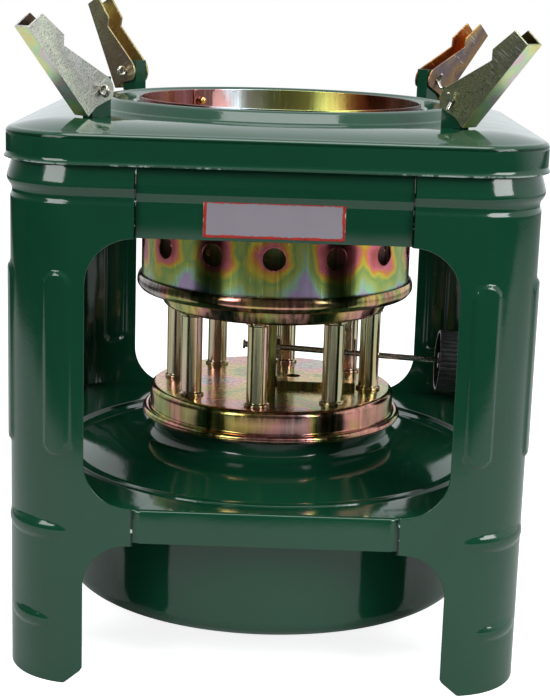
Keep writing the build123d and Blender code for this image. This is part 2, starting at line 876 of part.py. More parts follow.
def make_shaft_bracket():
    """Low bridge on the base pan whose two ears carry the shaft."""
    t = burner_sheet
    top = base_top_z + bracket_rise
    strap = box_between((bracket_left, bracket_front, top - t), (bracket_right, bracket_rear, top))
    for edge in (bracket_front, bracket_rear - t):
        strap += box_between((bracket_left, edge, base_top_z), (bracket_right, edge + t, top))
    half = bracket_ear_half
    ear_z = shaft_z + bracket_ear_rise
    for x in (bracket_left, bracket_right - t):
        ear = Pos(shaft_y, (ear_z + base_top_z) / 2) * Rectangle(2 * half, ear_z - base_top_z)
        ear += Pos(shaft_y, ear_z) * Circle(half)
        strap += Pos(x, 0, 0) * extrude(Plane.YZ * ear, amount=t)
    strap -= disc(bracket_hole_r, base_top_z + t, top + cut_past, bracket_hole_x, bracket_hole_y)
    slot = rack_slot(base_top_z - cut_past, top + cut_past)
    strap -= slot + Pos(0, bracket_front - rack_back_y, 0) * slot
    bore = extrude(shaft_frame(-2 * shaft_left) * Circle(shaft_r + run_gap), amount=knob_from)
    return strap - bore


def make_knob():
    """Moulded cup-shaped knob, open towards the burner, with fine flutes round its edge."""
    cup = Circle(knob_r)
    for k in range(knob_flutes):
        cup -= Pos(*on_circle((0, 0), knob_r, 360 / knob_flutes * k)) * Circle(knob_flute_r)
    knob = extrude(shaft_frame(knob_from) * cup, amount=knob_length)
    knob -= extrude(shaft_frame(knob_from) * Circle(knob_r - knob_wall), amount=knob_depth)
    knob += extrude(shaft_frame(knob_from + knob_hub_set_in) * Circle(knob_hub_r), amount=knob_depth)
    knob -= extrude(shaft_frame(knob_from) * Circle(shaft_r + fit_gap / 2), amount=knob_socket)
    return knob


def make_carrier():
    """Disc inside the tank's neck that lifts all the wicks together."""
    carrier = disc(carrier_r, carrier_z, carrier_z + carrier_sheet)
    high = carrier_z + carrier_sheet + cut_past
    for x, y in tube_places():
        carrier -= disc(wick_r + fit_gap, 0, high, x, y)
    for turn in quarters:
        carrier -= Rot(0, 0, turn + 45) * disc(carrier_hole_r, 0, high, carrier_hole_at, 0)
    return carrier


def make_clamps():
    """Rings on the carrier that grip the wicks."""
    rings = []
    low = carrier_z + carrier_sheet
    for x, y in tube_places():
        ring = disc(wick_r + fit_gap + clamp_wall, low, low + clamp_height, x, y)
        rings.append(ring - disc(wick_r + fit_gap, 0, low + clamp_height + cut_past, x, y))
    return rings


def make_wicks():
    """Eight cotton wicks, from near the tank's bottom up into the tubes."""
    return [disc(wick_r, wick_low_z, wick_top_z, x, y) for x, y in tube_places()]


def support_frame():
    """Plane of a support's side wall: x runs up the web, y goes in towards the pot."""
    a = math.radians(support_lean)
    heel = (support_heel_r, 0, plate_top_z)
    return Plane(origin=heel, x_dir=(math.cos(a), 0, math.sin(a)), z_dir=(0, -1, 0))


def pivot_place():
    """Pivot of a support as (radius, height)."""
    a = math.radians(support_lean)
    s, p = support_pivot_s, support_pivot_p
    along = s * math.cos(a) - p * math.sin(a)
    up = s * math.sin(a) + p * math.cos(a)
    return (support_heel_r + along, plate_top_z + up)


def make_support():
    """Folding U-channel arm: a straight web and two cut-away side walls with a tooth at the tip."""
    eye = (support_pivot_s, support_pivot_p)
    side = outline(
        (support_web_s, 0),
        (support_length, 0),
        (support_length - support_tip_back, support_tip_depth),
        (support_tooth_s, support_tooth_p),
        (support_notch_s, support_notch_p),
        on_circle(eye, support_eye_r, 70),
        (on_circle(eye, support_eye_r, 115), on_circle(eye, support_eye_r, 158)),
        (support_heel_s, support_heel_p),
    )
    face = support_frame()
    arm = extrude(face * side, amount=support_width / 2, both=True)
    room = Rectangle(2 * support_length, support_length, align=(Align.CENTER, Align.MIN))
    arm -= extrude(face * Pos(0, support_sheet) * room, amount=support_width / 2 - support_sheet, both=True)
    r, z = pivot_place()
    return arm - Pos(r, 0, z) * Rot(90, 0, 0) * Cylinder(pin_hole_r, 2 * support_width)


def turned_in(arm, angle):
    """A support folded towards the burner about its pin."""
    r, z = pivot_place()
    return Pos(r, 0, z) * Rot(0, -angle, 0) * Pos(-r, 0, -z) * arm


def make_ear_bracket():
    """Small upright U bracket, its web facing the burner, with tabs through the plate."""
    r, z = pivot_place()
    ear_outer_r = r + ear_past_pin
    ear_web_r = ear_outer_r - ear_depth
    top_z = plate_top_z + ear_height
    ear = box_between((ear_web_r, -ear_width / 2, plate_top_z), (ear_outer_r, ear_width / 2, top_z))
    inner = ear_width / 2 - support_sheet
    ear -= box_between((ear_web_r + support_sheet, -inner, plate_top_z - cut_past),
                       (ear_outer_r + cut_past, inner, top_z + cut_past))
    cut = outline((ear_outer_r - ear_cut_run, top_z), (ear_outer_r, top_z),
                  (ear_outer_r, top_z - ear_cut_drop))
    ear -= extrude(upright(cut), amount=ear_width, both=True)
    tab_r = (ear_web_r + ear_outer_r) / 2
    for side in (-1, 1):
        y = side * (ear_width - support_sheet) / 2
        ear += box_between((tab_r - ear_tab_half, y - support_sheet / 2, plate_top_z - ear_tab_drop),
                           (tab_r + ear_tab_half, y + support_sheet / 2, plate_top_z))
    return ear - Pos(r, 0, z) * Rot(90, 0, 0) * Cylinder(pin_r + fit_gap, 2 * ear_width)


def make_split_pin():
    """Split pin through arm and bracket: an eye at one end, two spread legs at the other."""
    r, z = pivot_place()
    half = support_width / 2 + pin_end
    wire = pin_wire_r
    shank = Rot(90, 0, 0) * Cylinder(pin_r, 2 * half)
    eye = Pos(0, half + pin_eye_r - pin_eye_bury, 0) * Rot(0, 90, 0) * Torus(pin_eye_r, wire)
    pin = shank + eye
    for side in (-1, 1):
        leg = Cylinder(wire, pin_leg_length, align=on_base)
        leg += Pos(0, 0, pin_leg_length) * Sphere(wire)
        pin += Pos(0, -half + wire, 0) * Rot(90 + side * pin_leg_angle, 0, 0) * leg
    return Pos(r, 0, z) * pin


def write(name, shape):
    """Write one named piece, or a group of like pieces, to its own file."""
    solids = [s for item in (shape if isinstance(shape, list) else [shape]) for s in item.solids()]
    export_step(Compound(label=name, children=solids), "parts/" + name + ".step")


os.makedirs("parts", exist_ok=True)

write("top_plate", make_top_plate())
leg_names = ("rear_right_leg", "rear_left_leg", "front_left_leg", "front_right_leg")
leg_shape = make_leg()
for name, turn in zip(leg_names, quarters):
    write(name, Rot(0, 0, turn) * leg_shape)
write("upper_band", make_upper_band())
write("name_plate", make_label())
write("tank_pan", make_tank_pan())
write("tank_bowl", make_tank_bowl())
write("filler_neck", make_filler_neck())
write("filler_cap", make_filler_cap())
write("burner_base", make_burner_base())
write("wick_tubes", make_wick_tubes())
write("gallery_dish", make_gallery_dish())
write("drum_tray", make_drum_tray())
write("outer_drum", make_outer_drum())
write("drum_rivets", make_drum_rivets())
write("outer_flame_sleeve", make_outer_sleeve())
write("inner_flame_sleeve", make_inner_sleeve())
write("flame_spreader", make_spreader())
write("drum_top_ring", make_top_ring())
write("sleeve_cross_pins", make_cross_pins())
write("control_shaft", make_shaft())
write("pinion", make_pinion())
write("shaft_bracket", make_shaft_bracket())
write("control_knob", make_knob())
write("wick_rack", make_rack())
write("wick_carrier", make_carrier())
write("wick_clamps", make_clamps())
write("wicks", make_wicks())

corner_names = ("rear_right", "rear_left", "front_left", "front_right")
support_shape = make_support()
bracket_shape = make_ear_bracket()
pin_shape = make_split_pin()
for name, turn, turn_in, shift_in in zip(corner_names, quarters, support_turns_in, support_shifts_in):
    place = Rot(0, 0, 45 + turn) * Pos(-shift_in, 0, 0)
    write(name + "_pot_support", place * turned_in(support_shape, turn_in))
    write(name + "_support_bracket", place * bracket_shape)
    write(name + "_split_pin", place * pin_shape)
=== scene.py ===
import math

import bpy
import numpy as np
from mathutils import Matrix, Vector
from mathutils.geometry import delaunay_2d_cdt


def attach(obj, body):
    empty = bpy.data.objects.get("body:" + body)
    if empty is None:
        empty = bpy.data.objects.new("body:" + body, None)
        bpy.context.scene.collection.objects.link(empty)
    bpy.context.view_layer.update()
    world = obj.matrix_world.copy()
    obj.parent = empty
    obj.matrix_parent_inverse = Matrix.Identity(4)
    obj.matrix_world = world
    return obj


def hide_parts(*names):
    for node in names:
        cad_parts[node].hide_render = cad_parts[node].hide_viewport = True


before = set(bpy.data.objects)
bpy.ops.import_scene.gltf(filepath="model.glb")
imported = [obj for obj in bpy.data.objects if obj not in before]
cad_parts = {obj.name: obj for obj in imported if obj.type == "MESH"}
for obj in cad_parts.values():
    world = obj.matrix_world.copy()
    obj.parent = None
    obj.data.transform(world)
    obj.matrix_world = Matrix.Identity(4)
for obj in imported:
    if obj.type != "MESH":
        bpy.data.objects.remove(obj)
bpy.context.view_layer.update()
scene = bpy.context.scene


# Camera
# It stands where the photograph was taken from: level with the top plate's upper side, looking down a little.
# The lens was fitted to the corners of the plate, the windows and the feet, for an image of 550 x 696.
yaw, pitch, roll = -0.00699, 0.22012, 0.03129
image_width, image_height = 550, 696
lens_in_pixels = 1630.34
eye = Vector((0.00681, -0.80854, 0.31424))

ahead = Vector((math.sin(yaw) * math.cos(pitch), math.cos(yaw) * math.cos(pitch), -math.sin(pitch)))
level = Vector((math.cos(yaw), -math.sin(yaw), 0.0))
upward = level.cross(ahead)
across = math.cos(roll) * level + math.sin(roll) * upward
tall = -math.sin(roll) * level + math.cos(roll) * upward
camera = bpy.data.objects.new("camera", bpy.data.cameras.new("camera"))
camera.data.sensor_width = 36.0
camera.data.lens = lens_in_pixels / max(image_width, image_height) * camera.data.sensor_width
camera.data.clip_start = 0.01
turn = Matrix((across, tall, -ahead)).transposed().to_4x4()
camera.matrix_world = Matrix.Translation(eye) @ turn
scene.collection.objects.link(camera)
scene.camera = camera
scene.view_settings.view_transform = "Standard"


# Studio
# A pale paper sweep lies under the stove, in a room with pale walls behind and above. For light and reflections it
# ends in front of the stove, and for the camera it is white all over. Two soft boxes stand beside the camera and a
# wide one hangs overhead.
def wire(node, **settings):
    """Set up a shader node. Names with a capital are its sockets, the others its own settings."""
    for key, value in settings.items():
        if key[0].islower():
            setattr(node, key, value)
            continue
        socket = node.inputs[int(key[1:])] if key[1:].isdigit() else node.inputs[key.replace("_", " ")]
        if isinstance(value, bpy.types.Node):
            value = next(output for output in value.outputs if output.enabled)
        if isinstance(value, bpy.types.NodeSocket):
            node.id_data.links.new(value, socket)
        else:
            socket.default_value = value
    return node


def add(tree, kind, **settings):
    """Add a shader node that is set up as wire says."""
    return wire(tree.nodes.new("ShaderNode" + kind), **settings)


def maths(tree, operation, *values):
    """Add a Math node over one to three values."""
    return add(tree, "Math", operation=operation, **{"I%d" % i: value for i, value in enumerate(values)})


def plain_mesh(name, points, faces):
    """A mesh object from points in metres."""
    mesh = bpy.data.meshes.new(name)
    mesh.from_pydata(points, [], faces)
    mesh.update()
    made = bpy.data.objects.new(name, mesh)
    scene.collection.objects.link(made)
    return made


sweep_front, sweep_back, sweep_side = -1.3, 2.6, 2.2
paper_front, paper_left, paper_right = 0.51, 0.86, 1.7
floor = plain_mesh("floor", [(-sweep_side, sweep_front, 0), (sweep_side, sweep_front, 0),
                             (sweep_side, sweep_back, 0), (-sweep_side, sweep_back, 0)], [(0, 1, 2, 3)])
paper = bpy.data.materials.new("pale_paper")
paper.use_nodes = True
tree = paper.node_tree
tree.nodes.clear()
path = add(tree, "LightPath")
spot = add(tree, "SeparateXYZ", Vector=add(tree, "TexCoord").outputs["Object"])
front = add(tree, "MapRange", Value=spot.outputs[1], From_Min=0.0, From_Max=-paper_front, clamp=False)
left = add(tree, "MapRange", Value=spot.outputs[0], From_Min=0.0, From_Max=-paper_left, clamp=False)
right = add(tree, "MapRange", Value=spot.outputs[0], From_Min=0.0, From_Max=paper_right, clamp=False)
front = maths(tree, "MAXIMUM", front, 0.0)
aside = maths(tree, "MAXIMUM", left, right)
reach = add(tree, "VectorMath", operation="LENGTH", I0=add(tree, "CombineXYZ", X=front, Y=aside))
near = add(tree, "MapRange", interpolation_type="SMOOTHSTEP", Value=reach, From_Min=1.14, From_Max=0.86)
white = add(tree, "MapRange", Value=near, To_Min=1.0, To_Max=0.86)
seen = maths(tree, "MULTIPLY", path.outputs["Is Camera Ray"], white)
mirrored = maths(tree, "MAXIMUM", path.outputs["Is Glossy Ray"], path.outputs["Is Transmission Ray"])
mirrored = maths(tree, "MULTIPLY", mirrored, 0.02)
mirrored = maths(tree, "MULTIPLY", mirrored, near)
shine = maths(tree, "ADD", seen, mirrored)
glow = add(tree, "Emission", Color=(1, 1, 1, 1), Strength=shine)
shade = add(tree, "Mix", data_type="RGBA", Factor=near, I6=(0.03, 0.03, 0.03, 1), I7=(0.60, 0.63, 0.62, 1))
matt = add(tree, "BsdfDiffuse", Color=shade)
both = add(tree, "AddShader", I0=glow, I1=matt)
add(tree, "OutputMaterial", Surface=both)
floor.data.materials.append(paper)

world = bpy.data.worlds.new("room")
world.use_nodes = True
scene.world = world
room = world.node_tree
room.nodes.clear()
path = add(room, "LightPath")
way = add(room, "SeparateXYZ", Vector=add(room, "TexCoord").outputs["Generated"])
high = maths(room, "MULTIPLY", way.outputs[2], 0.9)
back = maths(room, "ADD", high, way.outputs[1])
right = maths(room, "MULTIPLY", way.outputs[0], 0.55)
back = maths(room, "ADD", back, right)
pale = add(room, "MapRange", interpolation_type="SMOOTHSTEP", Value=back, From_Min=-0.25, From_Max=0.75,
           To_Min=0.07, To_Max=1.0)
mirrored = add(room, "Background", Color=(0.93, 0.98, 1, 1), Strength=pale)
dim = add(room, "Background", Color=(0.93, 0.97, 1, 1), Strength=0.3)
white = add(room, "Background", Color=(1, 1, 1, 1), Strength=1.0)
glossy = maths(room, "MAXIMUM", path.outputs["Is Glossy Ray"], path.outputs["Is Transmission Ray"])
lit = add(room, "MixShader", Fac=glossy, I1=dim, I2=mirrored)
shown = add(room, "MixShader", Fac=path.outputs["Is Camera Ray"], I1=lit, I2=white)
add(room, "OutputWorld", Surface=shown)


def soft_box(name, place, aim, width, height, watts):
    """Rectangular studio lamp that faces a point."""
    lamp = bpy.data.lights.new(name, "AREA")
    lamp.shape = "RECTANGLE"
    lamp.size = width
    lamp.size_y = height
    lamp.energy = watts
    made = bpy.data.objects.new(name, lamp)
    made.location = place
    made.rotation_euler = (Vector(aim) - Vector(place)).to_track_quat("-Z", "Y").to_euler()
    scene.collection.objects.link(made)
    return made


stove_middle = (0.0, 0.0, 0.15)
soft_box("left_box", (-0.98, -0.98, 0.9), stove_middle, 0.75, 0.75, 13)
soft_box("right_box", (1.1, -0.85, 0.9), stove_middle, 0.75, 0.75, 17)
soft_box("top_box", (0.0, -0.25, 1.5), stove_middle, 1.1, 0.7, 13)


# Corner legs
# Each is one pressed corner of enamelled sheet, 0.8 mm thick, with two short arms above and below the windows.
# The press gives it two upright ribs, two crescents low down and a rolled bead under the plate.
def millimetres(points):
    return [Vector(p) * 0.001 for p in points]


def rounded(corners, step=6.0):
    """Closed flat outline through corners of (x, y, radius), with arcs cut every few degrees."""
    line = []
    count = len(corners)
    for i, (x, y, r) in enumerate(corners):
        here = Vector((x, y))
        if r == 0:
            line.append((x, y))
            continue
        back = (Vector(corners[i - 1][:2]) - here).normalized()
        on = (Vector(corners[(i + 1) % count][:2]) - here).normalized()
        half = back.angle(on) / 2
        reach = r / math.tan(half)
        centre = here + (back + on).normalized() * (r / math.sin(half))
        first = here + back * reach - centre
        last = here + on * reach - centre
        sweep = first.angle_signed(last)
        cuts = max(2, int(abs(math.degrees(sweep)) / step))
        for k in range(cuts + 1):
            a = -sweep * k / cuts
            spun = Vector((first.x * math.cos(a) - first.y * math.sin(a),
                           first.x * math.sin(a) + first.y * math.cos(a)))
            line.append(tuple(centre + spun))
    return line


def divided(loop, longest):
    """Cut the long runs of a closed outline into short ones."""
    line = []
    for a, b in zip(loop, loop[1:] + loop[:1]):
        cuts = max(1, math.ceil(math.dist(a, b) / longest))
        line += [(a[0] + (b[0] - a[0]) * k / cuts, a[1] + (b[1] - a[1]) * k / cuts) for k in range(cuts)]
    return line


def inside(points, loop):
    """Which points lie inside a closed outline."""
    x, y = points[:, 0], points[:, 1]
    found = np.zeros(len(points), bool)
    for (ax, ay), (bx, by) in zip(loop, loop[1:] + loop[:1]):
        if ay == by:
            continue
        crosses = (ay > y) != (by > y)
        found ^= crosses & (x < (bx - ax) * (y - ay) / (by - ay) + ax)
    return found


def pressed_sheet(name, loops, grid, place, thick, edge_cuts=4):
    """Sheet metal over a flat pattern, with all its edges rounded over.

    The first outline is its edge and the others are holes, run the other way. place gives the outer face in
    millimetres for pattern points."""
    grid = grid[inside(grid, loops[0])]
    for hole in loops[1:]:
        grid = grid[~inside(grid, hole)]
    rim = np.array([p for loop in loops for p in loop])
    near = np.array([np.min(np.hypot(*(rim - p).T)) for p in grid])
    grid = grid[near > 0.7]
    flat = [Vector(p) for p in rim] + [Vector(p) for p in grid]
    edges, start = [], 0
    for loop in loops:
        edges += [(start + i, start + (i + 1) % len(loop)) for i in range(len(loop))]
        start += len(loop)
    flat, _, cells, *_ = delaunay_2d_cdt(flat, edges, [], 0, 1e-6, False)
    flat = np.array([tuple(p) for p in flat])
    cells = np.array(cells)
    middles = flat[cells].mean(axis=1)
    keep = inside(middles, loops[0])
    for hole in loops[1:]:
        keep &= ~inside(middles, hole)
    cells = cells[keep]

    small = 0.02
    face = place(flat)
    along = place(flat + (small, 0)) - place(flat - (small, 0))
    up = place(flat + (0, small)) - place(flat - (0, small))
    normal = np.cross(along, up)
    normal /= np.linalg.norm(normal, axis=1)[:, None]
    count = len(flat)
    points = [*face, *(face - thick * normal)]
    normals = [*normal, *-normal]
    polygons = [tuple(c) for c in cells] + [tuple(c[::-1] + count) for c in cells]
    start = 0
    for loop in loops:
        size = len(loop)
        rows = []
        own = list(range(start, start + size))
        middle = face[own] - thick / 2 * normal[own]
        run = np.roll(middle, -1, axis=0) - np.roll(middle, 1, axis=0)
        out = np.cross(run, normal[own])
        out /= np.linalg.norm(out, axis=1)[:, None]
        rows.append(own)
        for k in range(1, edge_cuts):
            a = math.pi * k / edge_cuts
            lean = math.cos(a) * normal[own] + math.sin(a) * out
            rows.append(list(range(len(points), len(points) + size)))
            points += list(middle + thick / 2 * lean)
            normals += list(lean)
        rows.append([i + count for i in own])
        for low, high in zip(rows, rows[1:]):
            polygons += [(high[(i + 1) % size], low[(i + 1) % size], low[i], high[i]) for i in range(size)]
        start += size
    made = plain_mesh(name, millimetres(points), polygons)
    made.data.shade_smooth()
    made.data.normals_split_custom_set_from_vertices([tuple(n) for n in normals])
    return made


def smooth_step(x):
    x = np.clip(x, 0, 1)
    return x * x * (3 - 2 * x)


leg_r = 34.3
corner_at = 84.0
sheet = 0.8
arm_end = 59.5
flat_run = corner_at - arm_end
turn_run = leg_r * math.pi / 2
leg_run = 2 * flat_run + turn_run
leg_top = 248.9
neck_z, crease_z = 236.2, 229.0
rib_length, rib_width, rib_rise, rib_z, rib_angle = 84.0, 14.5, 1.3, 149.0, 15.5
rib_edge = 2.6
crescents = [(72.5, 38.0, 4.6, 1.8), (29.0, 25.0, 4.0, 1.5)]
window_half, window_low, window_high, window_r = 81.5, 83.6, 205.7, 21.5
arch_half, arch_top, arch_r = 81.7, 67.0, 20.0
foot_flat, foot_bevel_at, foot_bevel_z = 90.0, 82.7, 6.5
foot_z = sheet / 2
bead_shape = [(0, 0), (217.5, 0), (219.0, 0), (219.6, -0.03), (220.4, -0.38), (221.2, -0.74), (222.2, -0.8),
              (223.2, -0.72), (224.2, -0.35), (225.2, 0.35), (226.2, 1.0), (227.0, 1.33), (227.8, 1.4),
              (228.8, 1.27), (230.2, 0.93), (232.0, 0.42), (234.0, -0.17), (235.4, -0.58), (236.6, -0.78),
              (238.0, -0.8), (260, -0.8)]


def smooth_run(x, knots):
    """Smooth curve through knots of (x, value)."""
    at, value = np.array(knots).T
    slope = np.gradient(value, at)
    i = np.clip(np.searchsorted(at, x) - 1, 0, len(at) - 2)
    step = at[i + 1] - at[i]
    t = (x - at[i]) / step
    return ((2 * t ** 3 - 3 * t ** 2 + 1) * value[i] + (t ** 3 - 2 * t ** 2 + t) * step * slope[i]
            + (3 * t ** 2 - 2 * t ** 3) * value[i + 1] + (t ** 3 - t ** 2) * step * slope[i + 1])


def leg_relief(angle, z):
    """How far the pressed corner stands out at an angle round it, in degrees, and a height."""
    rise = smooth_run(z, bead_shape)
    for at in (rib_angle, 90 - rib_angle):
        off_s = np.abs(angle - at) * math.pi / 180 * leg_r
        off_z = np.clip(np.abs(z - rib_z) - (rib_length - rib_width) / 2, 0, None)
        edge = rib_width / 2 - np.hypot(off_s, off_z)
        rise = rise + rib_rise * smooth_step(edge / rib_edge)
    for centre_z, half_angle, half_height, stands in crescents:
        reach = leg_r + stands
        shift = (reach ** 2 - leg_r ** 2) / (2 * (reach - leg_r * math.cos(math.radians(half_angle))))
        wide = reach - shift
        tall = half_height / math.sqrt(1 - ((leg_r - shift) / wide) ** 2)
        swing = np.radians(angle - 45)
        level_r2 = wide ** 2 * (1 - ((z - centre_z) / tall) ** 2)
        room = np.clip(level_r2 - (shift * np.sin(swing)) ** 2, 0, None)
        proud = shift * np.cos(swing) + np.sqrt(room) - leg_r
        rise = rise + (proud + np.sqrt(proud ** 2 + 0.02)) / 2 * (room > 0) * (np.abs(angle - 45) < 60)
    return rise


def leg_face(pattern):
    """Outer face of the rear right leg for points of (run round the corner, height)."""
    s, z = pattern[:, 0], pattern[:, 1]
    on_turn = np.clip(s - flat_run, 0, turn_run)
    before = np.minimum(s - flat_run, 0)
    after = np.maximum(s - flat_run - turn_run, 0)
    angle = on_turn / leg_r
    u = leg_r + leg_relief(np.degrees(angle), z)
    x = corner_at + u * np.cos(angle) - after
    y = corner_at + u * np.sin(angle) + before
    return np.stack([x, y, z], axis=1)


window_in = window_half - arm_end
arch_in = arch_half - arm_end
half_outline = [(leg_run / 2, foot_z, 0), (foot_flat - arm_end, foot_z, 2.0),
                (foot_bevel_at - arm_end, foot_bevel_z, 1.5), (arch_in, foot_bevel_z + 1.5, 0),
                (arch_in, arch_top, arch_r), (0, arch_top, 0),
                (0, window_low, 0), (window_in, window_low, window_r),
                (window_in, window_high, window_r), (0, window_high, 0), (0, leg_top, 0),
                (leg_run / 2, leg_top, 0)]
other_half = [(leg_run - s, z, r) for s, z, r in half_outline[::-1]][1:-1]
leg_edge = divided(rounded(half_outline + other_half), 2.2)[::-1]
columns = np.concatenate([np.arange(1.5, flat_run, 2.0), np.linspace(flat_run, flat_run + turn_run, 37),
                          np.arange(flat_run + turn_run + 2.0, leg_run, 2.0)])
levels = np.concatenate([np.arange(3, 22, 3.0), np.arange(22.5, 36, 0.8), np.arange(38, 64, 3.0),
                         np.arange(65, 80, 0.8), np.arange(82, 103, 3.0), np.arange(104, 116, 1.0),
                         np.arange(119, 180, 4.0), np.arange(182, 194, 1.0), np.arange(196, 218, 3.0),
                         np.arange(218.6, 238, 0.5), np.arange(240, 248, 2.5)])
leg_grid = np.array([(s, z) for s in columns for z in levels])


def opened(material):
    """A material with its node tree, its surface shader and the piece's own coordinates."""
    material.use_nodes = True
    tree = material.node_tree
    return material, tree, tree.nodes["Principled BSDF"], add(tree, "TexCoord").outputs["Object"]


def blank(name):
    """A new material, opened."""
    return opened(bpy.data.materials.new(name))


def variant(material, name):
    """A copy of a material, opened."""
    copy = material.copy()
    copy.name = name
    return opened(copy)


def blend(tree, share, first, second, kind="MIX"):
    """Mix two colours."""
    return add(tree, "Mix", data_type="RGBA", blend_type=kind, Factor=share, I6=first, I7=second)


def base_colour(shader):
    """What is linked to a shader's base colour."""
    return shader.inputs["Base Color"].links[0].from_socket


def colours(tree, value, stops, dark=1.0):
    """Turn a value into a colour, through stops of (place, colour)."""
    node = add(tree, "ValToRGB", Fac=value)
    ramp = node.color_ramp
    while len(ramp.elements) < len(stops):
        ramp.elements.new(0.5)
    for element, (at, colour) in zip(ramp.elements, stops):
        element.position = at
        element.color = (*[c * dark for c in colour], 1)
    return node


enamel, tree, paint, place = blank("green_enamel")
broad = add(tree, "TexNoise", Vector=place, Scale=11.0, Detail=3.0)
tone = colours(tree, broad, [(0.3, (0.0034, 0.0390, 0.0182)), (0.7, (0.0044, 0.0470, 0.0222))])
grime = add(tree, "TexNoise", Vector=place, Scale=160.0, Detail=6.0, Roughness=0.7)
dull = add(tree, "MapRange", Value=grime, From_Min=0.35, From_Max=0.75, To_Min=0.07, To_Max=0.13)
peel = add(tree, "TexNoise", Vector=place, Scale=700.0, Detail=1.0)
waves = add(tree, "TexNoise", Vector=place, Scale=30.0, Detail=1.0)
rough = add(tree, "Bump", Strength=0.02, Distance=0.001, Height=peel)
bumps = add(tree, "Bump", Strength=0.06, Distance=0.006, Height=waves, Normal=rough)
wire(paint, Base_Color=tone, Roughness=dull, Normal=bumps)

bare_steel = (0.42, 0.5, 0.46, 1)
pressed, tree, paint, place = variant(enamel, "pressed_enamel")
axes = add(tree, "SeparateXYZ", Vector=place)
across_x = maths(tree, "ABSOLUTE", axes.outputs[0])
across_y = maths(tree, "ABSOLUTE", axes.outputs[1])
inward = maths(tree, "MINIMUM", across_x, across_y)
at_end = add(tree, "MapRange", Value=inward, From_Min=0.0601, From_Max=0.0598)
chipping = add(tree, "TexNoise", Vector=place, Scale=330.0, Detail=4.0, Roughness=0.6)
chipped_end = add(tree, "MapRange", Value=chipping, From_Min=0.60, From_Max=0.63)
end_colour = blend(tree, chipped_end, (0.0006, 0.0015, 0.001, 1), bare_steel)
wire(paint, Base_Color=blend(tree, at_end, base_colour(paint), end_colour))


def settle(piece, body, slot_name, material, *nodes):
    """Give a piece its finish, let it ride on its body, and let it stand for its nodes."""
    piece.data.materials.append(material)
    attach(piece, body)
    if nodes:
        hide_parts(*nodes)
    return piece


corners = ("rear_right", "rear_left", "front_left", "front_right")
for k, corner in enumerate(corners):
    spin = Matrix.Rotation(math.radians(90 * k), 3, "Z")

    def turned_face(pattern, spin=np.array(spin)):
        return leg_face(pattern) @ spin.T

    leg = pressed_sheet(corner + "_leg_sheet", [leg_edge], leg_grid, turned_face, sheet)
    settle(leg, "stove_body", "green_enamel", pressed, corner + "_leg")


# Upper band
# A square hoop of the same sheet, rolled to a sharp crease level with the legs' bead.
# It runs behind the legs' upper arms and is spot welded to them.
def contour(u):
    """Points once round the stove, at a distance from the corners' axes."""
    stations = [-80, -74, -68, -62, -59, -57.8, -57, -56, -55, -52, *range(-48, 49, 6),
                52, 55, 56, 57, 57.8, 59, 62, 68, 74, 80]
    quarter = [(corner_at + u * math.cos(a), corner_at + u * math.sin(a))
               for a in np.linspace(0, math.pi / 2, 25)]
    quarter += [(-s, corner_at + u) for s in stations]
    points = []
    for k in range(4):
        c, s = round(math.cos(k * math.pi / 2)), round(math.sin(k * math.pi / 2))
        points += [(c * x - s * y, s * x + c * y) for x, y in quarter]
    return points


def circle(r, steps=192):
    """Points once round the stove's own axis."""
    return [(r * math.cos(2 * math.pi * k / steps), r * math.sin(2 * math.pi * k / steps))
            for k in range(steps)]


def sheet_line(corners, thick):
    """Closed section of sheet metal from corners of (x, z, radius) along its outer side, with rounded ends.

    The sheet's thickness lies to the right of the line."""
    line = rounded_run(corners)
    out, back = [], []
    for i, p in enumerate(line):
        a = Vector(line[max(i - 1, 0)])
        b = Vector(line[min(i + 1, len(line) - 1)])
        run = (b - a).normalized()
        side = Vector((run.y, -run.x))
        out.append(tuple(p))
        back.append(tuple(Vector(p) + side * thick))
    cap_end = round_end(out[-1], back[-1])
    cap_start = round_end(back[0], out[0])
    return out + cap_end + back[::-1] + cap_start


def rounded_run(corners, step=9.0):
    """Open line through corners of (x, z, radius)."""
    line = []
    for i, (x, z, r) in enumerate(corners):
        if r == 0 or i in (0, len(corners) - 1):
            line.append((x, z))
            continue
        here = Vector((x, z))
        back = (Vector(corners[i - 1][:2]) - here).normalized()
        on = (Vector(corners[i + 1][:2]) - here).normalized()
        half = back.angle(on) / 2
        reach = r / math.tan(half)
        centre = here + (back + on).normalized() * (r / math.sin(half))
        first = here + back * reach - centre
        last = here + on * reach - centre
        sweep = first.angle_signed(last)
        cuts = max(2, int(abs(math.degrees(sweep)) / step))
        for k in range(cuts + 1):
            a = -sweep * k / cuts
            line.append((centre.x + first.x * math.cos(a) - first.y * math.sin(a),
                         centre.y + first.x * math.sin(a) + first.y * math.cos(a)))
    return line


def round_end(a, b, cuts=4):
    """Points of a half circle from a to b, bulging away from the sheet."""
    a, b = Vector(a), Vector(b)
    middle, arm = (a + b) / 2, (a - b) / 2
    points = []
    for k in range(1, cuts):
        t = math.pi * k / cuts
        bulge = Vector((-arm.y, arm.x))
        points.append(tuple(middle + arm * math.cos(t) - bulge * math.sin(t)))
    return points


def smoothed(made, sharp):
    """Smooth shading, with edges kept crisp beyond an angle in degrees."""
    made.data.shade_smooth()
    made.data.set_sharp_from_angle(angle=math.radians(sharp))
    return made


def hoop(name, rows, sharp=35):
    """Closed band of faces through rows of points, each row once round."""
    size = len(rows[0])
    points = [p for row in rows for p in row]
    faces = []
    for j in range(len(rows)):
        low, high = j * size, (j + 1) % len(rows) * size
        faces += [(low + i, low + (i + 1) % size, high + (i + 1) % size, high + i) for i in range(size)]
    return smoothed(plain_mesh(name, millimetres(points), faces), sharp)


def square_rows(section):
    """Carry points of (distance from the corner axis, height) round the stove."""
    return [[(x, y, z) for x, y in contour(u)] for u, z in section]


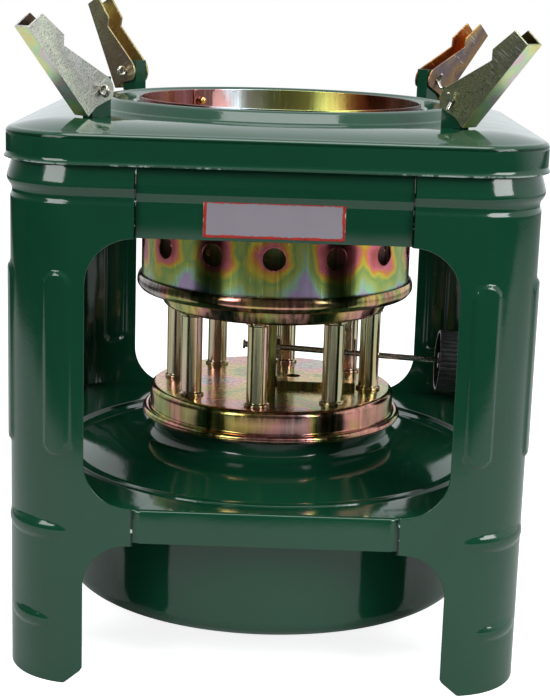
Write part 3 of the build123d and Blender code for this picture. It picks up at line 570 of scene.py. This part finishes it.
def round_rows(section, angles):
    """Carry points of (radius, height) round the stove's own axis, through given angles."""
    return [[(r * math.cos(a), r * math.sin(a), z) for a in angles] for r, z in section]


def turned(name, section, steps=192, centre=(0, 0)):
    """Turn a closed section of (radius, height) round an upright axis."""
    rows = [[(centre[0] + x, centre[1] + y, z) for x, y in circle(max(r, 0.01), steps)] for r, z in section]
    return hoop(name, rows)


band_u, crease_u = 32.4, 34.3
fold_z, flat_z = 225.0, 221.4
band = hoop("upper_band_sheet", square_rows(sheet_line(
    [(band_u, leg_top, 0), (band_u, neck_z, 1.5), (crease_u, crease_z, 0.3), (crease_u - 0.35, fold_z, 2.0),
     (band_u, flat_z, 2.0), (band_u, window_high + 0.3, 0)], sheet)))
settle(band, "stove_body", "green_enamel", enamel, "upper_band")


# Name plate
# A strip of tin plate, left blank, with a painted red border that has chipped to pale metal.
# It is glued to the front of the band.
plate_half, plate_half_z, plate_z, plate_thick = 30.5, 8.0, 215.0, 0.4
label_face = -(corner_at + band_u) - plate_thick
label_points = rounded([(-plate_half, -plate_half_z, 0.6), (plate_half, -plate_half_z, 0.6),
                        (plate_half, plate_half_z, 0.6), (-plate_half, plate_half_z, 0.6)], 20)
label_rows = []
for inset, y in ((0, label_face + plate_thick), (0, label_face + 0.12), (0.12, label_face), (1.5, label_face)):
    wide, high = 1 - inset / plate_half, 1 - inset / plate_half_z
    label_rows.append([(x * wide, y, plate_z + z * high) for x, z in label_points])
size = len(label_points)
label_mesh = [p for row in label_rows for p in row]
label_faces = [tuple(range(size)), tuple(range(3 * size, 4 * size))[::-1]]
for low, high in ((0, size), (size, 2 * size), (2 * size, 3 * size)):
    label_faces += [(low + i, high + i, high + (i + 1) % size, low + (i + 1) % size) for i in range(size)]
name_plate = smoothed(plain_mesh("blank_name_plate", millimetres(label_mesh), label_faces), 30)

border_x, border_z = 0.0014, 0.0011
tin, tree, paint, place = blank("name_plate_tin")
axes = add(tree, "SeparateXYZ", Vector=place)
ragged = add(tree, "TexNoise", Vector=place, Scale=420.0, Detail=3.0)
wobble = add(tree, "MapRange", Value=ragged, From_Min=0.3, From_Max=0.7, To_Min=-0.0004, To_Max=0.0004)
edge_x = maths(tree, "ABSOLUTE", axes.outputs[0])
edge_x = maths(tree, "SUBTRACT", edge_x, plate_half * 0.001 - border_x)
centre_z = maths(tree, "SUBTRACT", axes.outputs[2], plate_z * 0.001)
edge_z = maths(tree, "ABSOLUTE", centre_z)
edge_z = maths(tree, "SUBTRACT", edge_z, plate_half_z * 0.001 - border_z)
edge = maths(tree, "MAXIMUM", edge_x, edge_z)
edge = maths(tree, "ADD", edge, wobble)
border = add(tree, "MapRange", Value=edge, From_Min=-0.0001, From_Max=0.0001)
bare = add(tree, "MapRange", Value=edge, From_Min=0.00125, From_Max=0.0015)
clouds = add(tree, "TexNoise", Vector=place, Scale=60.0, Detail=4.0)
grey = colours(tree, clouds, [(0.0, (0.19, 0.172, 0.20)), (1.0, (0.225, 0.205, 0.235))])
red = colours(tree, ragged, [(0.35, (0.20, 0.008, 0.006)), (0.68, (0.36, 0.026, 0.016))])
bordered = blend(tree, border, grey, red)
wire(paint, Base_Color=blend(tree, bare, bordered, (0.50, 0.36, 0.30, 1)), Roughness=0.42)
settle(name_plate, "stove_body", "label_sheet", tin, "name_plate")


# Top plate
# A crowned lid pressed from one sheet: deep skirt with a small rolled lip, and a raised ring round its opening.
# It drops over the legs' necks. Its enamel has chipped along the lip.
lip_u, skirt_u, plate_low, plate_edge_z, edge_round = 36.9, 36.1, 236.5, 250.0, 2.5
crown_u, plate_top = 6.1, 254.0
ring_foot, ring_crest, ring_top, throat_r = 88.5, 83.0, 259.0, 71.2

crown_half = skirt_u - edge_round - crown_u
crown_radius = (crown_half ** 2 + (plate_top - plate_edge_z) ** 2) / (2 * (plate_top - plate_edge_z))
upper = [(lip_u, plate_low + 0.3), (lip_u + 0.05, plate_low + 0.75), (lip_u - 0.25, plate_low + 1.2),
         (skirt_u, plate_low + 1.9), (skirt_u, plate_low + 3.0), (skirt_u, plate_edge_z - edge_round - 1)]
for k in range(7):
    a = math.pi / 2 * k / 7
    upper.append((skirt_u - edge_round + edge_round * math.cos(a),
                  plate_edge_z - edge_round + edge_round * math.sin(a)))
for k in range(17):
    off = crown_half * (1 - k / 16)
    upper.append((crown_u + off, plate_top - crown_radius + math.sqrt(crown_radius ** 2 - off ** 2)))
round_part = rounded_run([(ring_foot + 1.5, plate_top, 0), (ring_foot, plate_top, 1.5),
                          (ring_crest + 2.2, 258.3, 1.6), (ring_crest, ring_top + 0.35, 2.4),
                          (ring_crest - 2.2, 258.1, 1.6),
                          (throat_r + 1.6, plate_top + 2.2, 1.5), (throat_r, plate_top + 1.4, 0.7),
                          (throat_r, plate_top, 0)])
angles = [math.atan2(y, x) for x, y in contour(crown_u)]
lower = [(u - sheet if z < plate_edge_z - edge_round else u, z - (sheet if z > plate_edge_z - 1 else 0))
         for u, z in upper[4:]]
under_round = [(r + (sheet if i > len(round_part) - 3 else 0), z - (0 if i > len(round_part) - 3 else sheet))
               for i, (r, z) in enumerate(round_part)]
lip_inside = [(skirt_u - sheet, plate_low + 1.2), (lip_u - 0.7, plate_low)]
top_plate = hoop("top_plate_sheet", square_rows(upper) + round_rows(round_part, angles)
                 + round_rows(under_round[::-1], angles) + square_rows(lower[::-1] + lip_inside), 40)

chipped, tree, paint, place = variant(enamel, "chipped_enamel")
height = add(tree, "SeparateXYZ", Vector=place)
low_edge = add(tree, "MapRange", Value=height.outputs[2], From_Min=0.2375, From_Max=0.2367)
flakes = add(tree, "TexNoise", Vector=place, Scale=260.0, Detail=5.0, Roughness=0.7)
patches = add(tree, "TexNoise", Vector=place, Scale=22.0, Detail=2.0)
amount = maths(tree, "MULTIPLY", flakes, patches)
chips = add(tree, "MapRange", Value=amount, From_Min=0.24, From_Max=0.29, To_Min=0.10)
chips = maths(tree, "MULTIPLY", chips, low_edge)
wire(paint, Base_Color=blend(tree, chips, base_colour(paint), bare_steel))
settle(top_plate, "stove_body", "green_enamel", chipped, "top_plate")


# Fuel tank
# A square pan with a domed top is seam welded to a round bowl. Its skirt is joggled out between the lower arms,
# and the dome is drawn up into a neck that the burner sits on.
pan_u, pan_round, strip_low, deck_z, neck_reach, joggle = 33.2, 1.6, 68.0, 83.6, 61.0, 0.9
joggle_half, joggle_ramp = 56.0, 1.8
edge = [(pan_u, strip_low + 0.3), (pan_u, deck_z - pan_round)]
edge += [(pan_u - pan_round + pan_round * math.cos(a), deck_z - pan_round + pan_round * math.sin(a))
         for a in np.linspace(0.3, math.pi / 2, 5)]
deck = rounded_run([(109.0, deck_z, 0), (107.5, deck_z, 0.6), (106.5, 81.6, 0.5), (104.5, 81.6, 0.5),
                    (103.5, 83.2, 0.6), (99.0, 82.4, 6.0), (79.75, 88.6, 40.0), (63.5, 91.0, 5.0),
                    (60.5, 94.0, 2.5), (60.5, 111.8, 0), (57.5, 114.8, 0)])


def joggled(u, z):
    """One row round the pan's skirt, stepped out in the middle of each side."""
    row = []
    for x, y in contour(u):
        side = abs(y) > abs(x)
        along, out = (x, y) if side else (y, x)
        if abs(along) < corner_at:
            out += math.copysign(joggle * (1 - smooth_step((abs(along) - joggle_half) / joggle_ramp)), out)
        row.append((along, out, z) if side else (out, along, z))
    return row


angles = [math.atan2(y, x) for x, y in contour(pan_u - pan_round)]
under_deck = [(r - sheet, z) if r < neck_reach else (r, z - sheet) for r, z in deck]
rows = [joggled(u, z) for u, z in edge[:-1]] + square_rows(edge[-1:]) + round_rows(deck, angles)
rows += round_rows(under_deck[::-1], angles)
rows += [joggled(u - sheet, z - (sheet if z > deck_z - 1.5 else 0)) for u, z in edge[::-1]]
pan = hoop("tank_pan_sheet", rows, 40)
settle(pan, "stove_body", "green_enamel", enamel, "tank_pan")

bowl_r, bowl_low, seam_r, seam_z = 103.0, 18.0, 108.0, 80.0
bowl = turned("tank_bowl_sheet", sheet_line(
    [(seam_r, seam_z, 0), (bowl_r, seam_z, 0.8), (bowl_r, bowl_low, 8.0), (0, bowl_low, 0)], sheet))
settle(bowl, "stove_body", "green_enamel", enamel, "tank_bowl")


def dress(material, *nodes):
    """Give carried-over CAD nodes their finish."""
    for node in nodes:
        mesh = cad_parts[node].data
        mesh.materials.clear()
        mesh.materials.append(material)


dress(enamel, "filler_neck")


# Burner base
# A pan of zinc plated steel with a yellow passivated finish, which shows bands of pink, green and gold.
# Its foot is rolled into a bead that seals on the tank's neck.
bronze_film = [(0.24, (0.66, 0.56, 0.34)), (0.33, (0.66, 0.42, 0.14)), (0.40, (0.74, 0.32, 0.28)),
               (0.46, (0.48, 0.30, 0.17)), (0.52, (0.34, 0.40, 0.13)), (0.58, (0.64, 0.46, 0.14)),
               (0.65, (0.76, 0.34, 0.32)), (0.75, (0.46, 0.40, 0.38)), (0.88, (0.70, 0.58, 0.32))]


def passivated(name, size, spread, film_colours, dark=1.0, drawn=0.5, smooth=0.11, dull=0.26, brushed=0.0,
               grain=(1, 1, 0.04), fine=420.0):
    """Yellow passivated zinc: colours wander over the sheet, with fine drawing lines in the metal."""
    material, tree, metal, place = blank(name)
    stretched = add(tree, "Mapping", Vector=place, Scale=spread)
    film = add(tree, "TexNoise", Vector=stretched, Scale=size, Detail=3.0, Roughness=0.45, Distortion=0.6)
    tilt = add(tree, "LayerWeight", Blend=0.35)
    lean = maths(tree, "MULTIPLY", tilt.outputs["Facing"], 0.14)
    both = maths(tree, "ADD", film, lean)
    hues = colours(tree, both, film_colours, dark)
    upright = add(tree, "Mapping", Vector=place, Scale=grain)
    streaks = add(tree, "TexNoise", Vector=upright, Scale=fine, Detail=3.0, Roughness=0.6)
    shade = add(tree, "MapRange", Value=streaks, From_Min=0.35, From_Max=0.6, To_Min=1 - drawn, To_Max=1.0)
    streaked = blend(tree, 1.0, hues, shade, "MULTIPLY")
    gloss = add(tree, "MapRange", Value=streaks, From_Min=0.3, From_Max=0.7, To_Min=smooth, To_Max=dull)
    bump = add(tree, "Bump", Strength=0.06, Distance=0.0004, Height=streaks)
    wire(metal, Base_Color=streaked, Roughness=gloss, Normal=bump, Metallic=1.0, Anisotropic=brushed,
         Anisotropic_Rotation=0.25)
    return material


def hole(r, x=0, y=0, steps=36):
    """Round hole in a flat pattern."""
    return [(x + r * math.cos(a), y + r * math.sin(a)) for a in np.linspace(2 * math.pi, 0, steps + 1)[:-1]]


def spun_blank(name, corners, thick, holes, steps=192):
    """Spun sheet with holes, from corners of (radius, height, turn radius) along its upper side, middle first.

    It is laid out as a flat blank, on which the distance from the middle follows the sheet."""
    line = np.array(rounded_run(corners))
    run = np.hypot(*np.diff(line, axis=0).T)
    reach = line[0, 0] + np.concatenate([[0], np.cumsum(run)])

    def face(pattern):
        far = np.maximum(np.hypot(*pattern.T), 0.001)
        return np.column_stack([pattern * (np.interp(far, reach, line[:, 0]) / far)[:, None],
                                np.interp(far, reach, line[:, 1])])

    rings = np.concatenate([np.linspace(a, b, max(2, int((b - a) / 3.0)), endpoint=False)
                            for a, b in zip(reach, reach[1:])])
    grid = np.array([p for r in rings if r > 1 for p in circle(r, steps if r > 20 else 48)])
    return pressed_sheet(name, [circle(reach[-1], steps), *holes], grid, face, thick)


zinc = passivated("yellow_zinc", 24.0, (1, 1, 0.6), bronze_film, brushed=0.6)
plated = 0.7
tube_r, tube_wall, tube_circle, tube_turn = 5.0, 0.6, 49.2, -97.8
tube_angles = [math.radians(tube_turn + 45 * k) for k in range(8)]
tube_holes = [hole(tube_r + 0.05, tube_circle * math.cos(a), tube_circle * math.sin(a)) for a in tube_angles]
slot_left, slot_right, slot_front, slot_back = -3.8, 2.8, -9.6, -0.9
rack_hole = divided([(slot_left, slot_front), (slot_left, slot_back), (slot_right, slot_back),
                     (slot_right, slot_front)], 1.0)
base_top, base_r, bead_at, bead_z, bead_r = 115.5, 61.7, 63.4, 102.4, 2.0
base = spun_blank("burner_base_pan", [(0, base_top, 0), (base_r, base_top, 3.0), (base_r, 104.6, 0.8),
                                      (64.2, 103.8, 1.2), (bead_at + bead_r, bead_z, 0)],
                  plated, tube_holes + [rack_hole])
settle(base, "stove_body", "zinc_plate", zinc, "burner_base")
foot_bead = turned("burner_base_bead", [(bead_at + bead_r * math.cos(a), bead_z + bead_r * math.sin(a))
                                        for a in np.linspace(0, 2 * math.pi, 17)[:-1]])
settle(foot_bead, "stove_body", "zinc_plate", zinc)


# Wick tubes
# Eight tubes rolled from strip, each with an upright lock seam and a spun ring where it is soldered in,
# at its foot and under the dish.
tube_low, tube_high, ring_r = 110.0, 159.5, 6.1
foot_at, head_at, ring_height = base_top, 156.7, 1.8
seam_ridge_r, seams_face = 0.42, (35, -60, 80, -20, 55, -75, 15, -40)
tube_film = [(0.25, (0.72, 0.62, 0.44)), (0.36, (0.76, 0.50, 0.42)), (0.44, (0.70, 0.60, 0.40)),
             (0.52, (0.50, 0.50, 0.30)), (0.60, (0.72, 0.54, 0.28)), (0.70, (0.76, 0.48, 0.44)),
             (0.84, (0.66, 0.58, 0.44))]
tube_zinc = passivated("tube_zinc", 60.0, (1, 1, 0.12), tube_film, drawn=0.25)
for k, a in enumerate(tube_angles):
    x, y = tube_circle * math.cos(a), tube_circle * math.sin(a)
    section = rounded_run([(tube_r, tube_low, 0), (tube_r, foot_at - 0.1, 0), (ring_r, foot_at, 0.3),
                           (ring_r, foot_at + ring_height * 0.6, 0.5), (tube_r, foot_at + ring_height, 0.6),
                           (tube_r, head_at - ring_height, 0.6), (ring_r, head_at - ring_height * 0.6, 0.5),
                           (ring_r, head_at, 0.3), (tube_r, head_at + 0.1, 0), (tube_r, tube_high, 0)])
    section += [(tube_r - tube_wall, tube_high), (tube_r - tube_wall, tube_low)]
    tube = turned("wick_tube_%d" % (k + 1), section, 48, (x, y))
    facing = a + math.radians(seams_face[k])
    ridge = []
    for z in (foot_at + ring_height, head_at - ring_height):
        ridge.append([(x + tube_r * math.cos(facing) + seam_ridge_r * math.cos(t + facing),
                       y + tube_r * math.sin(facing) + seam_ridge_r * math.sin(t + facing), z)
                      for t in np.linspace(0, 2 * math.pi, 13)[:-1]])
    points = [p for row in ridge for p in row]
    faces = [tuple(range(12))[::-1], tuple(range(12, 24))]
    faces += [(i, (i + 1) % 12, 12 + (i + 1) % 12, 12 + i) for i in range(12)]
    seam = smoothed(plain_mesh("wick_tube_seam_%d" % (k + 1), millimetres(points), faces), 40)
    settle(seam, "stove_body", "zinc_plate", tube_zinc)
    settle(tube, "stove_body", "zinc_plate", tube_zinc, *(["wick_tubes"] if k == 0 else []))


# Gallery dish and drum tray
# The dish is spun and takes the tubes' tops, round an air hole. The tray is a ring with a rolled edge, spot welded
# on the dish's rim, and the drum stands in it.
air_r, dish_low = 16.0, 157.0
dish = spun_blank("gallery_dish_sheet", [(air_r, dish_low, 0), (54.9, dish_low, 2.0), (57.6, 164.4, 0.5),
                                         (58.7, 164.5, 0)], plated, [hole(air_r), *tube_holes])
settle(dish, "stove_body", "zinc_plate", zinc, "gallery_dish")
tray = turned("drum_tray_sheet", sheet_line(
    [(55.0, 165.0, 0), (66.6, 165.0, 1.6), (68.4, 167.4, 1.8), (68.3, 169.4, 1.6), (67.75, 171.4, 0)], plated))
settle(tray, "stove_body", "zinc_plate", zinc, "drum_tray")


# Drum
# A strip of plated sheet, pierced with a row of air holes, rolled up and riveted along its lap.
# Its top edge is flared. Colours gather in rings round the holes, where the bath was trapped.
drum_r, drum_low, drum_top, flare_r, flare_height = 67.0, 165.7, 258.8, 69.0, 40.0
holes, hole_r, hole_z, seam_angle, lap = 14, 5.65, 190.0, 128.5, 9.0
drum_run = 2 * math.pi * drum_r


def drum_face(pattern):
    """Outer face of the drum: a turn of the strip, starting at the lap."""
    s, z = pattern[:, 0], pattern[:, 1]
    angle = math.radians(seam_angle) + (s - lap / 2) / drum_r
    flare = (flare_r - drum_r) * smooth_step((z - (drum_top - flare_height - 1)) / (flare_height + 1))
    r = drum_r + flare - 0.02 - 0.7 * smooth_step((s - drum_run + 3.0) / 3.0)
    return np.stack([r * np.cos(angle), r * np.sin(angle), z], axis=1)


strip = divided([(0, drum_low + 0.35), (drum_run + lap - 0.5, drum_low + 0.35),
                 (drum_run + lap - 0.5, drum_top - 0.35), (0, drum_top - 0.35)], 2.2)
loops = [strip]
for k in range(holes):
    at = (math.radians(-90 + 360 / holes * k - seam_angle) % (2 * math.pi)) * drum_r + lap / 2
    loops.append(hole(hole_r, at, hole_z))
drum_levels = np.concatenate([np.arange(168, 181, 3.0), np.arange(183, 198, 1.6), np.arange(201, 258, 4.0)])
drum_grid = np.array([(s, z) for s in np.arange(1.8, drum_run + lap - 1.5, 2.6) for z in drum_levels])
drum = pressed_sheet("drum_sheet", loops, drum_grid, drum_face, plated)

drum_zinc = passivated("drum_zinc", 24.0, (1, 1, 0.8), bronze_film, drawn=0.25, smooth=0.2, dull=0.29,
                       brushed=0.92)
_, tree, metal, place = opened(drum_zinc)
axes = add(tree, "SeparateXYZ", Vector=place)
bearing = maths(tree, "ARCTAN2", axes.outputs[1], axes.outputs[0])
bearing = maths(tree, "ADD", bearing, math.pi / 2)
pitch_angle = 2 * math.pi / holes
phase = maths(tree, "DIVIDE", bearing, pitch_angle)
phase = maths(tree, "FRACT", maths(tree, "ADD", phase, 10.5))
phase = maths(tree, "SUBTRACT", phase, 0.5)
off_x = maths(tree, "MULTIPLY", phase, pitch_angle * drum_r * 0.001)
off_z = maths(tree, "SUBTRACT", axes.outputs[2], hole_z * 0.001)
apart = add(tree, "CombineXYZ", X=off_x, Y=off_z)
far = add(tree, "VectorMath", operation="LENGTH", I0=apart)
stray = add(tree, "TexNoise", Vector=place, Scale=40.0, Detail=3.0, Distortion=0.4)
push = add(tree, "MapRange", Value=stray, From_Min=0.25, From_Max=0.75, To_Min=-0.007, To_Max=0.007)
far = maths(tree, "ADD", far, push)
share = add(tree, "MapRange", Value=far, From_Min=0.004, From_Max=0.024)
rings = colours(tree, share, [(0.0, (0.55, 0.10, 0.12)), (0.12, (0.86, 0.20, 0.30)), (0.22, (0.92, 0.34, 0.08)),
                              (0.33, (0.82, 0.66, 0.08)), (0.46, (0.30, 0.50, 0.16)),
                              (0.60, (0.52, 0.60, 0.14)), (0.74, (0.42, 0.76, 0.52)),
                              (0.88, (0.60, 0.46, 0.74))])
across_back = add(tree, "MapRange", Value=axes.outputs[0], From_Min=-0.067, From_Max=0.067)
waver = add(tree, "MapRange", Value=stray, From_Min=0.25, From_Max=0.75, To_Min=-0.05, To_Max=0.05)
across_back = maths(tree, "ADD", across_back, waver)
collar_film = [(0.02, (0.32, 0.09, 0.08)), (0.10, (0.60, 0.25, 0.27)), (0.16, (0.42, 0.15, 0.13)),
               (0.25, (0.50, 0.28, 0.28)), (0.29, (0.60, 0.68, 0.78)), (0.39, (0.58, 0.66, 0.70)),
               (0.45, (0.32, 0.40, 0.27)), (0.54, (0.32, 0.34, 0.13)), (0.63, (0.36, 0.42, 0.12)),
               (0.70, (0.60, 0.58, 0.16)), (0.76, (0.62, 0.42, 0.12)), (0.80, (0.46, 0.16, 0.07)),
               (0.86, (0.17, 0.06, 0.03)), (1.0, (0.12, 0.045, 0.03))]
collar = colours(tree, across_back, collar_film, dark=0.78)
ringed = blend(tree, 0.9, base_colour(metal), rings)
high_up = add(tree, "MapRange", Value=axes.outputs[2], From_Min=0.212, From_Max=0.220)
wire(metal, Base_Color=blend(tree, high_up, ringed, collar))
settle(drum, "burner_drum", "zinc_plate", drum_zinc, "outer_drum")

inner_zinc = passivated("sleeve_zinc", 30.0, (1, 1, 1), bronze_film, 0.9, smooth=0.4, dull=0.55)
wire(inner_zinc.node_tree.nodes["Principled BSDF"], Metallic=0.6)
dress(inner_zinc, "outer_flame_sleeve", "inner_flame_sleeve", "flame_spreader", "drum_top_ring")
dress(zinc, "drum_rivets", "sleeve_cross_pins")


# Wick drive
# A steel rod turns in a folded bracket on the base pan. Its small gear lifts the rack, the carrier disc and the
# wicks, which are round cotton cord.
steel, tree, metal, place = blank("bright_steel")
stain = add(tree, "TexNoise", Vector=place, Scale=240.0, Detail=5.0, Roughness=0.7)
hue = colours(tree, stain, [(0.35, (0.30, 0.27, 0.22)), (0.62, (0.66, 0.63, 0.57))])
sheen = add(tree, "MapRange", Value=stain, From_Min=0.3, From_Max=0.7, To_Min=0.34, To_Max=0.16)
pits = add(tree, "Bump", Strength=0.12, Distance=0.0003, Height=stain)
wire(metal, Base_Color=hue, Roughness=sheen, Normal=pits, Metallic=1.0)
dress(steel, "control_shaft", "pinion")
dress(zinc, "shaft_bracket", "wick_rack", "wick_carrier", "wick_clamps", "filler_cap")

cotton, tree, cloth, place = blank("wick_cotton")
strands = add(tree, "TexWave", Vector=place, bands_direction="DIAGONAL", Scale=420.0, Distortion=1.5,
              Detail=2.0)
shade = colours(tree, strands, [(0.0, (0.46, 0.42, 0.34)), (1.0, (0.78, 0.74, 0.64))])
weave = add(tree, "Bump", Strength=0.5, Distance=0.0005, Height=strands)
wire(cloth, Base_Color=shade, Normal=weave, Roughness=0.92)
dress(cotton, "wicks")


# Wick knob
# A black moulded cup, open towards the burner, pressed on the rod's end. Its edge is finely fluted.
knob_from, knob_length, knob_r, knob_wall, knob_floor, hub_r = 84.0, 13.5, 15.5, 1.7, 9.0, 4.0
flutes, flute_depth = 36, 0.32
slope = math.radians(3.0)
shaft_at = Vector((0.0, 2.5, 133.6))
along_shaft = Vector((math.cos(slope), 0, -math.sin(slope)))
above_shaft = Vector((math.sin(slope), 0, math.cos(slope)))
knob_section = rounded_run([(1.52, 0.5, 0), (hub_r, 0.5, 0.4), (hub_r, knob_floor, 0.6),
                            (knob_r - knob_wall, knob_floor, 0.8), (knob_r - knob_wall + 0.1, 0, 0.5),
                            (knob_r, 0, 0.6), (knob_r - 0.1, knob_length, 1.2), (0.02, knob_length, 0)])
knob_rows = []
knob_steps = flutes * 6
for r, h in knob_section:
    row = []
    for k in range(knob_steps):
        a = 2 * math.pi * k / knob_steps
        groove = flute_depth * max(0.0, math.cos(flutes * a)) ** 2 if r > knob_r - 0.6 else 0.0
        p = shaft_at + along_shaft * (knob_from + h) + Vector((0, 1, 0)) * (r - groove) * math.cos(a)
        row.append(p + above_shaft * (r - groove) * math.sin(a))
    knob_rows.append(row)
knob = hoop("control_knob_cup", knob_rows, 35)

plastic, tree, moulded, place = blank("black_moulding")
dust = add(tree, "TexNoise", Vector=place, Scale=330.0, Detail=6.0, Roughness=0.75)
blacks = colours(tree, dust, [(0.4, (0.003, 0.003, 0.0035)), (0.8, (0.018, 0.018, 0.019))])
matt = add(tree, "MapRange", Value=dust, To_Min=0.22, To_Max=0.5)
wire(moulded, Base_Color=blacks, Roughness=matt)
settle(knob, "wick_control", "black_plastic", plastic, "control_knob")


# Pot supports
# Four channel arms of plated sheet fold about split pins in enamelled brackets, whose tabs are bent over
# under the plate. The arms are scratched from use.
# Each arm's film colours, partly its own hues and partly painted light: the front left set is lightened for a
# highlight, the right-hand sets darkened for shade.
arm_films_lit_and_shaded = {
    "rear_right": [(0.30, (0.46, 0.22, 0.05)), (0.42, (0.17, 0.12, 0.11)), (0.52, (0.34, 0.21, 0.10)),
                   (0.62, (0.20, 0.15, 0.16)), (0.74, (0.50, 0.34, 0.14))],
    "rear_left": [(0.30, (0.90, 0.86, 0.54)), (0.42, (0.74, 0.62, 0.40)), (0.52, (0.86, 0.82, 0.48)),
                  (0.62, (0.62, 0.46, 0.30)), (0.74, (0.92, 0.88, 0.66))],
    "front_left": [(0.30, (0.66, 0.68, 0.36)), (0.40, (0.80, 0.82, 0.76)), (0.48, (0.60, 0.50, 0.54)),
                   (0.56, (0.82, 0.86, 0.70)), (0.64, (0.58, 0.58, 0.52)), (0.74, (0.90, 0.92, 0.90))],
    "front_right": [(0.30, (0.62, 0.60, 0.26)), (0.42, (0.36, 0.37, 0.28)), (0.52, (0.46, 0.48, 0.27)),
                    (0.62, (0.30, 0.30, 0.26)), (0.74, (0.66, 0.62, 0.34))]}
# The channel's back: its own film hues, set brighter than the sides, with a painted blue-white highlight among
# them.
web_film_and_highlight = [(0.30, (0.90, 0.74, 0.26)), (0.40, (0.86, 0.84, 0.40)), (0.48, (0.62, 0.82, 0.52)),
            (0.56, (0.88, 0.62, 0.66)), (0.64, (0.70, 0.84, 0.78)), (0.74, (0.90, 0.84, 0.50))]
# Painted shade inside each arm's channel, one multiplier per arm; the rear right one also tints it orange-brown.
channel_shades_per_arm = {"rear_right": (1.6, 0.9, 0.35, 1), "rear_left": (0.72, 0.66, 0.52, 1),
                 "front_left": (0.16, 0.12, 0.08, 1), "front_right": (0.20, 0.15, 0.09, 1)}
bright_scratch = (0.86, 0.84, 0.78, 1)
scratch_tilt, scratch_spread = math.radians(-56), (1500, 95, 1)
back_out, back_down = 0.77, -0.64


def scratched(name, film_colours, shade_in_channel):
    """Grainy plated sheet, brighter on the channel's back with its film hues and a painted highlight, with painted
    shade inside the channel, and scratched across its sides.
    """
    material = passivated(name, 21.0, (1, 1, 1), film_colours, smooth=0.26, dull=0.42, grain=(1, 1, 1),
                          fine=1800.0)
    _, tree, metal, place = opened(material)
    spot = add(tree, "SeparateXYZ", Vector=place)
    flat = add(tree, "CombineXYZ", X=spot.outputs[0], Y=spot.outputs[1])
    out = add(tree, "VectorMath", operation="LENGTH", I0=flat)
    radial = add(tree, "CombineXYZ", X=out, Y=spot.outputs[2])
    laid = add(tree, "Mapping", Vector=radial, Rotation=(0, 0, scratch_tilt))
    squeezed = add(tree, "VectorMath", operation="MULTIPLY", I0=laid, I1=scratch_spread)
    scratch = add(tree, "TexNoise", Vector=squeezed, Scale=1.0, Detail=1.0)
    marks = add(tree, "MapRange", Value=scratch, From_Min=0.655, From_Max=0.675, To_Max=0.85)
    rubbed = add(tree, "TexNoise", Vector=place, Scale=75.0, Detail=1.0)
    rubbed = add(tree, "MapRange", Value=rubbed, From_Min=0.46, From_Max=0.54)
    marks = maths(tree, "MULTIPLY", marks, rubbed)

    facing = add(tree, "TexCoord").outputs["Normal"]
    outward = add(tree, "VectorMath", operation="NORMALIZE", I0=flat)
    outwards = add(tree, "VectorMath", operation="DOT_PRODUCT", I0=facing, I1=outward)
    upwards = add(tree, "SeparateXYZ", Vector=facing)
    falls = maths(tree, "MULTIPLY", upwards.outputs[2], back_down)
    backwards = maths(tree, "MULTIPLY_ADD", outwards, back_out, falls)
    # Painted highlight: the channel's back, picked by the way it faces, takes the brighter film colours.
    web_highlight_mask = add(tree, "MapRange", Value=backwards, From_Min=0.55, From_Max=0.75)
    on_floor = add(tree, "MapRange", Value=backwards, From_Min=-0.8, From_Max=-0.9)
    mirrored_way = add(tree, "VectorMath", operation="MULTIPLY", I0=outward, I1=(1, -1, 0))
    mirrored_way = add(tree, "VectorMath", operation="SIGN", I0=mirrored_way)
    sideways = add(tree, "VectorMath", operation="DOT_PRODUCT", I0=facing, I1=mirrored_way)
    signs = add(tree, "VectorMath", operation="DOT_PRODUCT", I0=place, I1=mirrored_way)
    side_sign = maths(tree, "SIGN", signs)
    turned_in = maths(tree, "MULTIPLY", sideways, side_sign)
    in_side = add(tree, "MapRange", Value=turned_in, From_Min=-0.6, From_Max=-1.0)
    # Painted shade: inside the channel the colour is darkened by the arm's multiplier, orange-tinted on the rear
    # right arm.
    channel_shade_mask = maths(tree, "MAXIMUM", in_side, on_floor)

    web_hues_and_highlight = colours(tree, add(tree, "TexNoise", Vector=place, Scale=44.0, Detail=2.0), web_film_and_highlight)
    with_web_highlight = blend(tree, web_highlight_mask, base_colour(metal), web_hues_and_highlight)
    scored = blend(tree, marks, with_web_highlight, bright_scratch)
    wire(metal, Base_Color=blend(tree, channel_shade_mask, scored, shade_in_channel, "MULTIPLY"))
    return material


for corner in corners:
    arm_zinc = scratched(corner + "_arm_zinc", arm_films_lit_and_shaded[corner], channel_shades_per_arm[corner])
    for node, material, width in ((corner + "_pot_support", arm_zinc, 0.0004),
                                  (corner + "_support_bracket", enamel, 0.0003)):
        dress(material, node)
        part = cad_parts[node]
        weld = part.modifiers.new("weld", "WELD")
        weld.merge_threshold = 0.00001
        flats = part.modifiers.new("flats", "DECIMATE")
        flats.decimate_type = "DISSOLVE"
        flats.angle_limit = math.radians(3)
        bevel = part.modifiers.new("bevel", "BEVEL")
        bevel.width = width
        bevel.segments = 2
        bevel.harden_normals = True
        bevel.angle_limit = math.radians(40)
        level_faces = part.modifiers.new("level_faces", "WEIGHTED_NORMAL")
        level_faces.weight = 100
        level_faces.keep_sharp = False
    dress(steel, corner + "_split_pin")
